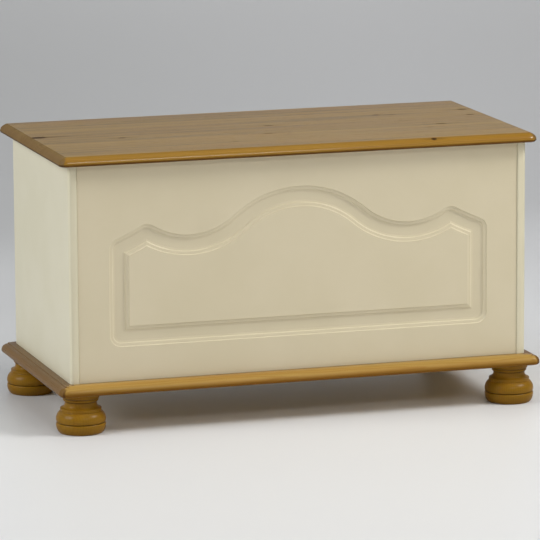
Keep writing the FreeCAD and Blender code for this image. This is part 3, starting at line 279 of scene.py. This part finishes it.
# Faces told apart by how far up they look: 1 is straight up, -1 straight down.
TOP_FACES = (0.90, 0.99)
NOSE_FROM = (0.20, 0.36)         # the band of a moulding's nose that polish has built up on
NOSE_TO = (0.44, 0.56)
NOT_FLAT_BELOW = (-0.98, -0.85)
FLAT_BELOW = (-0.99, -0.95)
PAINTED_SHADE_BELOW = (-0.55, 0.22)        # painted shade: faces that look downwards, under a moulding
# Faces across the grain, and where they end at a rounded corner.
END_FACES = (0.10, 0.40)
END_CORNER = (-0.45, -0.25)

WOOD_GLOSS = 0.08
PLAIN_COAT = 0.06
COAT_ROUGHNESS = 0.16
FIBRE_RELIEF, FIBRE_RELIEF_STRENGTH = 0.06 * MM, 0.5
RING_RELIEF, RING_RELIEF_STRENGTH = 0.05 * MM, 0.35
ROUGHNESS_SPREAD = 0.08
END_DULLNESS = 0.3
KNOT_DULLNESS = 0.4


def staves(finish, across, width, start):
    """A chance value for each strip that a wide board is glued from, and its thin joints."""
    number = finish.divide(finish.add(across, start), width)
    chance = finish.node("ShaderNodeTexWhiteNoise", noise_dimensions="1D")
    finish.feed(chance.inputs["W"], finish.math("FLOOR", number))
    nearest = finish.subtract(number, finish.math("ROUND", number))
    from_joint = finish.multiply(finish.size(nearest), width)
    return chance.outputs["Value"], finish.fade_out(from_joint, *STAVE_JOINT_EDGE)


def knotted(finish, rings, knots):
    """Push the rings round each knot. Returns the rings, and how dark the knots make a place."""
    x, y, _ = finish.split(finish.place)
    darkness = 0.0
    for knot_x, knot_y, radius, depth in knots:
        aside = finish.subtract(y, knot_y)
        ahead = finish.divide(finish.subtract(x, knot_x), KNOT_STRETCH)
        away = finish.distance(aside, ahead)
        rings = finish.add(rings, finish.fade_out(away, 0.0, radius * SWIRL_REACH,
                                                  radius * SWIRL_PUSH))
        core = finish.fade_out(away, radius * KNOT_EDGE[0], radius * KNOT_EDGE[1], depth)
        flare_away = finish.distance(finish.multiply(aside, FLARE_NARROWING),
                                     finish.multiply(ahead, FLARE_DRAWING))
        flare = finish.fade_out(flare_away, 0.0, radius * FLARE_REACH, depth * FLARE_STRENGTH)
        darkness = finish.larger(darkness, finish.larger(core, flare))
    return rings, darkness


def growth_rings(finish, grain, heart, ring, knots):
    """The late wood of the growth rings, 0 to 1, and the darkness of the knots.

    The rings are cylinders about a heart that lies beside the board, so faces show the figure
    of a real board and ends show end grain.
    """
    def swing(rate, size, roughness):
        about_zero = finish.subtract(finish.drawn_noise(grain, rate, 2.0, roughness), 0.5)
        return finish.multiply(about_zero, size)

    _, across, up = finish.split(grain)
    wander = swing(WANDER_RATE, WANDER_SIZE, 0.45)
    ripple = swing(RIPPLE_RATE, RIPPLE_SIZE, 0.5)
    rings = finish.distance(finish.add(across, heart[0], wander), finish.add(up, heart[1]))
    rings, knot = knotted(finish, finish.add(rings, ripple), knots)
    phase = finish.math("FRACT", finish.divide(rings, ring))
    late = finish.multiply(finish.fade(phase, *LATE_WOOD_COMES),
                           finish.fade_out(phase, *LATE_WOOD_GOES))
    return late, knot


def stain_taken(finish, grain, late, fibre, chance, contrast):
    """How deep the stain is, 0 to 1, from the rings, the fibres, the clouds and the stave."""
    cloud = finish.drawn_noise(grain, CLOUD_RATE, 3.0, 0.55)
    total = finish.add(finish.multiply(late, RING_SHARE * contrast),
                       finish.multiply(fibre, FIBRE_SHARE),
                       finish.multiply(cloud, CLOUD_SHARE * contrast),
                       finish.multiply(chance, STAVE_SHARE * contrast))
    average = (RING_AVERAGE + (CLOUD_SHARE + STAVE_SHARE) / 2) * contrast + FIBRE_SHARE / 2
    return finish.subtract(total, average - BLEND_MIDDLE, clamp=True)


def end_faces(finish, along):
    """1 on the faces across the grain, 0 on those along it."""
    x, y, _ = finish.split(finish.facing)
    lengthwise, sideways = finish.size(x), finish.size(y)
    if along == "Y":
        lengthwise, sideways = sideways, lengthwise
    return finish.multiply(finish.fade(lengthwise, *END_FACES),
                           finish.fade(finish.subtract(lengthwise, sideways), *END_CORNER))


def varnish(finish, fibre, top, end, knot, roughness, top_coat, nose_coat):
    """A thin satin varnish. End grain and knots are duller, and a moulding's nose shines most."""
    dull = finish.add(finish.multiply(end, END_DULLNESS), finish.multiply(knot, KNOT_DULLNESS))
    satin = finish.fade(fibre, *FIBRE_SPREAD, roughness, roughness + ROUGHNESS_SPREAD)
    finish.set(Roughness=finish.add(dull, satin), Specular_IOR_Level=WOOD_GLOSS)
    up_facing = finish.split(finish.facing)[2]
    nose = finish.multiply(finish.fade(up_facing, *NOSE_FROM),
                           finish.fade_out(up_facing, *NOSE_TO), finish.subtract(1.0, end))
    coat = finish.add(finish.fade(nose, 0.0, 1.0, PLAIN_COAT, nose_coat),
                      finish.multiply(top, top_coat))
    finish.set(Coat_Weight=coat, Coat_Roughness=COAT_ROUGHNESS)


def pine(name, along, stain, stave=None, stave_start=0.0, heart=(0.11, -0.16), ring=3.4 * MM,
         knots=(), contrast=1.0, end_stain=None, top_painted_reflection=None, under_tone=PAINTED_UNDER_SHADE,
         under_range=PAINTED_SHADE_BELOW, raw_under=False, darkening=None, roughness=0.26, top_coat=0.15,
         nose_coat=0.15):
    """Stained and varnished pine.

    along is the axis of the grain. stave is the width of the strips that a wide board is glued
    from. knots are (x, y, radius, darkness). darkening is a function that darkens the shade:
    painted shade at joints and grooves, and stain gathered in the grooves.
    """
    finish = Finish(name)
    x, y, z = finish.split(finish.place)
    length, across, up = {"X": (x, y, z), "Y": (y, x, z), "Z": (z, x, y)}[along]
    chance, joint = 0.5, None
    if stave:
        chance, joint = staves(finish, across, stave, stave_start)
        length = finish.add(length, finish.multiply(chance, STAVE_SHIFT_ALONG))
        across = finish.add(across, finish.multiply(chance, STAVE_SHIFT_ACROSS))
    grain = finish.join(length, across, up)
    late, knot = growth_rings(finish, grain, heart, ring, knots)
    fibre = finish.drawn_noise(grain, FIBRE_RATE, 3.0, 0.6)
    amount = stain_taken(finish, grain, late, fibre, chance, contrast)

    shade = finish.blend(amount, *stain)
    heartwood = finish.fade(finish.drawn_noise(grain, HEARTWOOD_RATE, 2.0, 0.5),
                            *HEARTWOOD_SPREAD, 0.0, HEARTWOOD_STRENGTH)
    shade = finish.tint(heartwood, shade, HEARTWOOD_TONE)
    end = 0.0
    if end_stain:
        end = end_faces(finish, along)
        shade = finish.blend(end, shade, finish.blend(amount, *end_stain))
    up_facing = finish.split(finish.facing)[2]
    top = finish.fade(up_facing, *TOP_FACES)
    if top_painted_reflection:
        # Painted reflection: the flat top is tinted greyer.
        shade = finish.tint(top, shade, top_painted_reflection)
        streak = finish.fade(finish.drawn_noise(grain, STREAK_RATE, 3.0, 0.6), *STREAK_SPREAD)
        shade = finish.tint(finish.multiply(top, streak), shade, STREAK_TONE)
    # Painted shade: faces that look downwards, short of flat, are darkened by a tone.
    under = finish.multiply(finish.fade_out(up_facing, *under_range),
                            finish.fade(up_facing, *NOT_FLAT_BELOW))
    shade = finish.tint(under, shade, under_tone)
    if raw_under:
        raw = finish.fade_out(up_facing, *FLAT_BELOW)
        shade = finish.blend(raw, shade, finish.blend(amount, *RAW))
    if joint is not None:
        shade = finish.blend(finish.multiply(joint, STAVE_JOINT_STRENGTH), shade, STAVE_JOINT)
    if knots:
        knot = finish.multiply(knot, finish.subtract(1.0, end))
        shade = finish.blend(knot, shade, KNOT_WOOD)
    # Painted shade at joints and grooves, and on the feet stain in the grooves too.
    if darkening:
        shade = darkening(finish, shade)
    finish.set(Base_Color=shade)

    varnish(finish, fibre, top, end, knot, roughness, top_coat, nose_coat)
    relief = finish.bump(fibre, FIBRE_RELIEF, FIBRE_RELIEF_STRENGTH)
    finish.set(Normal=finish.bump(late, RING_RELIEF, RING_RELIEF_STRENGTH, under=relief))
    return finish.material


# The lid's knots: place on the board, radius and darkness.
LID_KNOTS = (
    (-0.395, 0.027, 0.0095, 1.0),
    (-0.262, -0.021, 0.0045, 0.8),
    (0.232, -0.1945, 0.0034, 1.0),
    (0.388, 0.098, 0.0060, 0.8),
    (0.380, 0.035, 0.0050, 0.65),
    (0.297, -0.048, 0.0065, 0.5),
    (0.266, -0.078, 0.0050, 0.25),
    (0.224, 0.084, 0.0050, 0.6),
    (0.250, 0.080, 0.0060, 0.25),
    (0.011, 0.028, 0.0060, 0.5),
    (-0.015, -0.056, 0.0060, 0.40),
    (-0.093, -0.121, 0.0040, 0.25),
)


def lid_pine():
    """Golden staves with a polished nose. The flat top is tinted greyer as a painted reflection,
    and streaked.
    """
    return pine("lid_pine", "X", GOLD, stave=0.079, stave_start=0.031, heart=(0.02, -0.62),
                ring=3.2 * MM, knots=LID_KNOTS, contrast=1.4, end_stain=BROWN,
                top_painted_reflection=LID_TOP_PAINTED_REFLECTION, top_coat=0.0, nose_coat=0.9)


# The painted shadow line where the box stands on the frame: how far from the box it fades, and
# how far below the frame's top.
SHADOW_EDGE = (0.2 * MM, 1.4 * MM)
SHADOW_DEPTH = (1.0 * MM, 0.2 * MM)
SHADOW_STRENGTH = 0.7


def base_pine(name, along, stain=GOLD, **settings):
    """A rail of the base frame, with a painted shadow line where the box stands on it."""
    def darkening(finish, shade):
        x, y, z = finish.split(finish.place)
        beside = finish.subtract(finish.size(x), BOX_HIGH.x)
        before = finish.subtract(BOX_LOW.y, y)
        gap = finish.size(finish.larger(beside, before))
        line = finish.fade_out(gap, *SHADOW_EDGE, SHADOW_STRENGTH)
        top = finish.fade(z, *(BASE_HIGH.z - depth for depth in SHADOW_DEPTH))
        # Painted shadow: a dark line on the rail's top, right against the box.
        return finish.blend(finish.multiply(line, top), shade, PAINTED_SHADOW)

    return pine(name, along, stain, heart=(0.30, -0.12), ring=3.0 * MM, end_stain=UMBER,
                raw_under=True, darkening=darkening, top_coat=0.05, **settings)


# Height and width of the dark lines on a foot, partly stain gathered in them and partly painted
# shade: the V groove and both ends of the bead.
FOOT_LINES = ((18.1 * MM, 0.9 * MM), (53.0 * MM, 1.2 * MM), (58.6 * MM, 0.9 * MM))
FOOT_LINE_EDGE = (0.3, 1.4)      # of its width, where a line fades
FOOT_LINE_STRENGTH = 0.85


def foot_pine():
    def darkening(finish, shade):
        z = finish.split(finish.place)[2]
        lines = 0.0
        for level, width in FOOT_LINES:
            away = finish.divide(finish.size(finish.subtract(z, level)), width)
            line = finish.fade_out(away, *FOOT_LINE_EDGE, FOOT_LINE_STRENGTH)
            lines = finish.larger(lines, line)
        # Partly stain in the grooves, partly painted shade.
        return finish.blend(lines, shade, GROOVE_STAIN_AND_SHADE)

    return pine("foot_pine", "Z", HONEY, heart=(0.05, 0.04), ring=3.6 * MM, contrast=0.6,
                under_tone=FOOT_PAINTED_UNDER_SHADE, darkening=darkening, roughness=0.30, top_coat=0.1,
                nose_coat=0.06)


def plain_pine():
    return pine("plain_pine", "X", PLAIN, heart=(0.2, -0.2), roughness=0.6)


# ---------------------------------------------------------------- lacquer, board and metal
CREAM = colour(214, 206, 178), colour(211, 203, 174)
FRONT_CREAM = colour(212, 200, 170), colour(209, 197, 166)
PAINTED_BOX_FOOT_SHADOW = colour(96, 72, 40)
FIBRE_BOARD = colour(240, 214, 164), colour(226, 196, 144)
BRASS = colour(206, 172, 104), colour(150, 116, 58)
ZINC = colour(196, 198, 202), colour(150, 152, 158)

LACQUER_CLOUDS = (0.3, 0.7)
LACQUER_ROUGHNESS = (0.30, 0.35)
LACQUER_GLOSS = 0.5
ORANGE_PEEL, ORANGE_PEEL_STRENGTH = 0.02 * MM, 0.4
BOX_FOOT_SHADOW_FADE = (0.3 * MM, 1.1 * MM)  # the painted shadow above the base frame, where it fades
BOX_FOOT_SHADOW_STRENGTH = 0.85

EASED = 1.8 * MM                 # how far from its arris a panel's edge starts to roll over
CROWN_ANGLE = 20.0               # degrees that a panel's edge leans, half a board off its crown
LEFT_CROWN = BOX_LOW.x + 9.0 * MM
RIGHT_CROWN = BOX_HIGH.x - 12.5 * MM
LEFT_TO_RIGHT = (-0.1, 0.1)      # x, on the chest's middle
FORWARD_FACES = (0.6, 0.95)      # by how far forward they look


def crowned(finish, surface):
    """Round the front edges of the side panels slightly, with eased arrises."""
    x = finish.split(finish.place)[0]
    aside = finish.subtract(x, finish.fade(x, *LEFT_TO_RIGHT, LEFT_CROWN, RIGHT_CROWN))
    slope = math.tan(math.radians(CROWN_ANGLE)) / BOARD
    height = finish.multiply(finish.multiply(aside, aside), -slope)
    from_middle = finish.size(finish.subtract(finish.size(x), BOX_HIGH.x - BOARD / 2))
    roll = finish.larger(finish.subtract(from_middle, BOARD / 2 - EASED), 0.0)
    roll = finish.multiply(finish.multiply(roll, roll), 0.5 / EASED)
    rounded = finish.bump(finish.subtract(height, roll), 1.0, under=surface)
    forward = finish.multiply(finish.split(finish.facing)[1], -1.0)
    return finish.blend_vectors(finish.fade(forward, *FORWARD_FACES), surface, rounded)


def lacquer(name, pale, deep, crown=False):
    """Satin lacquer on smooth board: very fine orange peel and faint clouding."""
    finish = Finish(name)
    cloud = finish.noise(finish.place, 9.0, 3.0)
    shade = finish.blend(finish.fade(cloud, *LACQUER_CLOUDS), pale, deep)
    # Painted shadow: a dark line where the box stands on the base frame.
    above = finish.subtract(finish.split(finish.place)[2], BASE_HIGH.z)
    joint = finish.fade_out(above, *BOX_FOOT_SHADOW_FADE, BOX_FOOT_SHADOW_STRENGTH)
    finish.set(Base_Color=finish.blend(joint, shade, PAINTED_BOX_FOOT_SHADOW))
    finish.set(Roughness=finish.fade(cloud, *LACQUER_CLOUDS, *LACQUER_ROUGHNESS))
    finish.set(Specular_IOR_Level=LACQUER_GLOSS)
    peel = finish.noise(finish.place, 900.0, 2.0)
    surface = finish.bump(peel, ORANGE_PEEL, ORANGE_PEEL_STRENGTH)
    finish.set(Normal=crowned(finish, surface) if crown else surface)
    return finish.material


def board(name, pale, deep):
    """Pressed fibre board with a smooth face."""
    finish = Finish(name)
    fleck = finish.noise(finish.place, 420.0, 4.0, 0.7)
    cloud = finish.noise(finish.place, 14.0, 3.0)
    amount = finish.multiply(finish.add(fleck, cloud), 0.5)
    finish.set(Base_Color=finish.blend(finish.fade(amount, 0.35, 0.65), pale, deep))
    finish.set(Roughness=0.6, Normal=finish.bump(fleck, 0.03 * MM, 0.4))
    return finish.material


def metal(name, pale, deep, roughness):
    """Plated metal with fine brushing and a little tarnish."""
    finish = Finish(name)
    brushing = finish.drawn_noise(finish.place, (60.0, 900.0), 3.0, 0.6)
    tarnish = finish.noise(finish.place, 70.0, 4.0, 0.6)
    finish.set(Base_Color=finish.blend(finish.fade(tarnish, 0.4, 0.75), pale, deep))
    finish.set(Roughness=finish.fade(brushing, 0.2, 0.8, roughness, roughness + 0.15))
    finish.set(Metallic=1.0, Normal=finish.bump(brushing, 0.02 * MM, 0.5))
    return finish.material


# ---------------------------------------------------------------- moulded edges
CORNER_RADIUS = 15.0 * MM        # of a moulding's front corners, seen from above
CORNER_STEPS = 8
SMOOTH_BELOW = math.radians(50)


def arc(start, end, radius, steps):
    """Points along a shallow round between two (inset, depth) points, hollow side down."""
    start, end = Vector(start), Vector(end)
    chord = end - start
    drop = math.sqrt(radius**2 - chord.length_squared / 4)
    centre = (start + end) / 2 + drop * Vector((chord.y, -chord.x)).normalized()
    insets = [start.x + chord.x * step / steps for step in range(steps + 1)]
    return [(inset, centre.y - math.sqrt(radius**2 - (inset - centre.x) ** 2))
            for inset in insets]


# The shoulders of the mouldings in mm: inset from the nose and depth below the top. Each
# runs down to where it meets the ovolo of the CAD model, and then back inside the wood.
OVOLO_MEETING = (4.2, 3.84)
INSIDE_WOOD = [(4.6, 4.50), (11.5, 2.40)]
LID_SHOULDER = [
    (12.0, 0.0), (11.8, 0.35),
    *arc((11.0, 0.65), OVOLO_MEETING, 19.2, 7),
    *INSIDE_WOOD,
]
BASE_SHOULDER = [
    *arc((22.7, -0.60), (11.9, -0.03), 196.4, 6),
    *arc((10.8, 0.20), OVOLO_MEETING, 27.8, 7),
    *INSIDE_WOOD, (15.0, 1.00), (22.7, 1.00),
]


def moulding_path(reach, front, rear, part="all"):
    """Places round a moulded edge, each with the way out.

    The path is that of the centres of the corners: along the left end, round the corner, along
    the front, and back along the right end, or along one of them as far as the mitres.
    """
    centre = Vector((reach - CORNER_RADIUS, front + CORNER_RADIUS))
    left = [((-centre.x, rear), (-1.0, 0.0))]
    for step in range(CORNER_STEPS + 1):
        angle = math.pi / 2 * step / CORNER_STEPS
        left.append(((-centre.x, centre.y), (-math.cos(angle), -math.sin(angle))))
    right = [((-x, y), (-out_x, out_y)) for (x, y), (out_x, out_y) in reversed(left)]
    path = left + right
    mitre = 1 + CORNER_STEPS // 2
    return {
        "all": path,
        "left": path[:mitre + 1],
        "front": path[mitre:len(path) - mitre],
        "right": path[len(path) - mitre - 1:],
    }[part]


def edge_cap(name, body, path, top, profile, finish):
    """The rounded shoulder of a moulded edge: a closed strip with the profile along the path."""
    corners = []
    for (x, y), (out_x, out_y) in path:
        for inset, depth in profile:
            reach = CORNER_RADIUS - inset * MM
            corners.append((x + out_x * reach, y + out_y * reach, top - depth * MM))
    count = len(profile)
    faces = [tuple(range(count)), tuple(range(len(corners) - count, len(corners)))]
    for row in range(len(path) - 1):
        for step in range(count):
            here, after = row * count + step, row * count + (step + 1) % count
            faces.append((here, after, after + count, here + count))
    mesh = bpy.data.meshes.new(name)
    mesh.from_pydata(corners, [], faces)
    shaped = bmesh.new()
    shaped.from_mesh(mesh)
    bmesh.ops.recalc_face_normals(shaped, faces=shaped.faces)
    shaped.to_mesh(mesh)
    shaped.free()
    mesh.shade_smooth()
    mesh.set_sharp_from_angle(angle=SMOOTH_BELOW)
    mesh.materials.append(finish)
    cap = bpy.data.objects.new(name, mesh)
    bpy.context.scene.collection.objects.link(cap)
    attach(cap, body)


def edge_caps(lid, rails):
    """lid is the lid's finish, and rails gives that of each rail by its part of the frame."""
    path = moulding_path(LID_HIGH.x, LID_LOW.y, LID_HIGH.y)
    edge_cap("lid_shoulder", "lid", path, LID_HIGH.z, LID_SHOULDER, lid)
    for part, finish in rails.items():
        path = moulding_path(BASE_HIGH.x, BASE_LOW.y, BASE_REAR, part)
        edge_cap(f"base_shoulder_{part}", "chest", path, BASE_HIGH.z, BASE_SHOULDER, finish)


# ---------------------------------------------------------------- the chest
def rail_finishes():
    # Painted shade darkens each rail's faces that look downwards.
    side = {"nose_coat": 0.06, "under_tone": SIDE_PAINTED_UNDER_SHADE}
    return {
        "left": base_pine("base_pine_left", "Y", UMBER, **side),
        # The front rail: a paler stain as painted highlight, and painted shade over its lower
        # half.
        "front": base_pine("base_pine_front", "X", GOLD_PAINTED_SHEEN, nose_coat=0.2,
                           under_tone=FRONT_PAINTED_UNDER_SHADE, under_range=(-0.20, 0.75)),
        "right": base_pine("base_pine_right", "Y", UMBER, **side),
    }


def dress_chest():
    """Give every CAD node its finish, and round the shoulders of the mouldings."""
    rails = rail_finishes()
    lid = lid_pine()
    plain = plain_pine()
    brass = metal("satin_brass", *BRASS, 0.28)
    zinc = metal("zinc_plate", *ZINC, 0.34)
    # The first name that a node's own name starts with gives its finish.
    finishes = {
        "lid_board": lid,
        "base_rail_back": base_pine("base_pine_back", "X"),
        **{f"base_rail_{part}": finish for part, finish in rails.items()},
        "bottom_panel": board("bottom_board", *FIBRE_BOARD),
        "dowels": plain,
        "corner_block": plain,
        "cam_": zinc,
        "base_screws": zinc,
        "bottom_screws": zinc,
        "foot_screws": zinc,
        "foot_": foot_pine(),
        "front_panel": lacquer("cream_front", *FRONT_CREAM),
        "back_panel": lacquer("cream_back", *CREAM),
        "side_panel": lacquer("cream_sides", *CREAM, crown=True),
        "": brass,
    }
    for name, node in nodes.items():
        start = next(start for start in finishes if name.startswith(start))
        for slot in node.material_slots:
            slot.material = finishes[start]
    edge_caps(lid, rails)


# ---------------------------------------------------------------- studio
WALL_Y = 2.6
WALL_TOP = 7.0
SWEEP_RADIUS = 0.9
SWEEP_STEPS = 12
HALF_WIDTH = 9.0
FLOOR_END = 12.0                 # how far the floor goes to the front and to the back
REAR_FLOOR_DROP = 0.5 * MM

# Painted light where the floor and the wall blend: lighter from left to right, darker from near
# to far and up to the wall.
PAINTED_LIGHT_RIGHTWARD = (-0.4, 1.2)
FLOOR_BACKWARD = (-0.3, 0.4)
WALL_BACKWARD = (1.2, 2.4)
SWEEP_ROUGHNESS, SWEEP_GLOSS = 0.42, 0.5

NEAR_FLOOR = colour(217, 216, 214)
# On the left and on the right.
FAR_FLOOR = colour(201, 201, 200), colour(209, 209, 209)
WALL = colour(170, 170, 169), colour(188, 188, 188)


def sweep_mesh():
    """A floor that curves up into a wall behind the chest, and goes on behind that wall."""
    turn_y = WALL_Y - SWEEP_RADIUS
    profile = [(-FLOOR_END, 0.0), (turn_y, 0.0)]
    for step in range(1, SWEEP_STEPS + 1):
        angle = math.pi / 2 * step / SWEEP_STEPS
        profile.append((turn_y + SWEEP_RADIUS * math.sin(angle),
                        SWEEP_RADIUS - SWEEP_RADIUS * math.cos(angle)))
    profile.append((WALL_Y, WALL_TOP))
    starts = list(range(0, 2 * len(profile) - 2, 2))
    starts.append(2 * len(profile))
    profile += [(turn_y, -REAR_FLOOR_DROP), (FLOOR_END, -REAR_FLOOR_DROP)]
    corners = [(x, y, z) for y, z in profile for x in (-HALF_WIDTH, HALF_WIDTH)]
    mesh = bpy.data.meshes.new("sweep")
    mesh.from_pydata(corners, [], [(i, i + 1, i + 3, i + 2) for i in starts])
    mesh.shade_smooth()
    return mesh


def sweep_paint():
    """A pale floor and a light grey wall with painted light, lighter to the right and darker
    further back. The wall is clear when seen from its back.
    """
    finish = Finish("sweep")
    x, y, _ = finish.split(finish.place)
    # Painted light: lighter to the right, darker further back and up the wall.
    painted_light_rightward = finish.fade(x, *PAINTED_LIGHT_RIGHTWARD)
    floor = finish.blend(finish.fade(y, *FLOOR_BACKWARD), NEAR_FLOOR,
                         finish.blend(painted_light_rightward, *FAR_FLOOR))
    wall = finish.blend(painted_light_rightward, *WALL)
    finish.set(Base_Color=finish.blend(finish.fade(y, *WALL_BACKWARD), floor, wall))
    finish.set(Roughness=SWEEP_ROUGHNESS, Specular_IOR_Level=SWEEP_GLOSS)
    back = finish.node("ShaderNodeNewGeometry").outputs["Backfacing"]
    finish.set(Alpha=finish.subtract(1.0, back))
    return finish.material


def studio():
    mesh = sweep_mesh()
    mesh.materials.append(sweep_paint())
    sweep = bpy.data.objects.new("sweep", mesh)
    bpy.context.scene.collection.objects.link(sweep)


def lamp(name, place, target, size, watts, tint=(1.0, 1.0, 1.0)):
    light = bpy.data.lights.new(name, "AREA")
    light.shape = "RECTANGLE"
    light.size, light.size_y = size
    light.energy = watts
    light.color = tint
    made = bpy.data.objects.new(name, light)
    made.location = place
    made.rotation_mode = "QUATERNION"
    made.rotation_quaternion = (Vector(target) - Vector(place)).to_track_quat("-Z", "Y")
    made.visible_camera = False
    bpy.context.scene.collection.objects.link(made)


def lamps():
    """Soft boxes overhead, on the right and on the left, and a strip in front."""
    middle = (0.0, 0.0, 0.25)
    lamp("overhead", (0.0, -0.4, 3.4), (0.0, -0.4, 0.0), (2.4, 2.0), 24)
    lamp("front", (0.3, -3.2, 2.25), middle, (1.8, 0.5), 22)
    lamp("right", (2.6, -1.5, 2.95), middle, (1.4, 1.4), 109)
    lamp("left", (-4.4, -0.5, 3.0), middle, (2.6, 2.6), 168, (0.96, 1.0, 1.06))


# How bright the room is straight ahead and overhead, and how far up the horizon's light goes.
HORIZON, ZENITH, HORIZON_TOP = 0.9, 0.04, 0.25


def room():
    """White light from all round, brightest at the horizon."""
    world = bpy.data.worlds.new("studio")
    world.use_nodes = True
    tree = world.node_tree
    background = tree.nodes["Background"]
    background.inputs["Color"].default_value = (1.0, 1.0, 1.0, 1.0)
    place = tree.nodes.new("ShaderNodeTexCoord")
    split = tree.nodes.new("ShaderNodeSeparateXYZ")
    glow = tree.nodes.new("ShaderNodeMapRange")
    glow.interpolation_type = "SMOOTHSTEP"
    glow.inputs["From Min"].default_value = 0.0
    glow.inputs["From Max"].default_value = HORIZON_TOP
    glow.inputs["To Min"].default_value = HORIZON
    glow.inputs["To Max"].default_value = ZENITH
    tree.links.new(place.outputs["Generated"], split.inputs[0])
    tree.links.new(split.outputs["Z"], glow.inputs["Value"])
    tree.links.new(glow.outputs["Result"], background.inputs["Strength"])
    bpy.context.scene.world = world


def camera():
    data = bpy.data.cameras.new("camera")
    data.lens = CAMERA_LENS
    data.sensor_width = CAMERA_SENSOR
    data.clip_end = CAMERA_REACH
    made = bpy.data.objects.new("camera", data)
    turn = Matrix.Rotation(-math.radians(CAMERA_TURN), 4, "Z")
    tilt = Matrix.Rotation(math.radians(90 - CAMERA_TILT), 4, "X")
    roll = Matrix.Rotation(math.radians(CAMERA_ROLL), 4, "Z")
    made.matrix_world = Matrix.Translation(CAMERA_PLACE) @ turn @ tilt @ roll
    bpy.context.scene.collection.objects.link(made)
    bpy.context.scene.camera = made


dress_chest()
studio()
lamps()
room()
camera()
bpy.context.scene.view_settings.view_transform = "Standard"
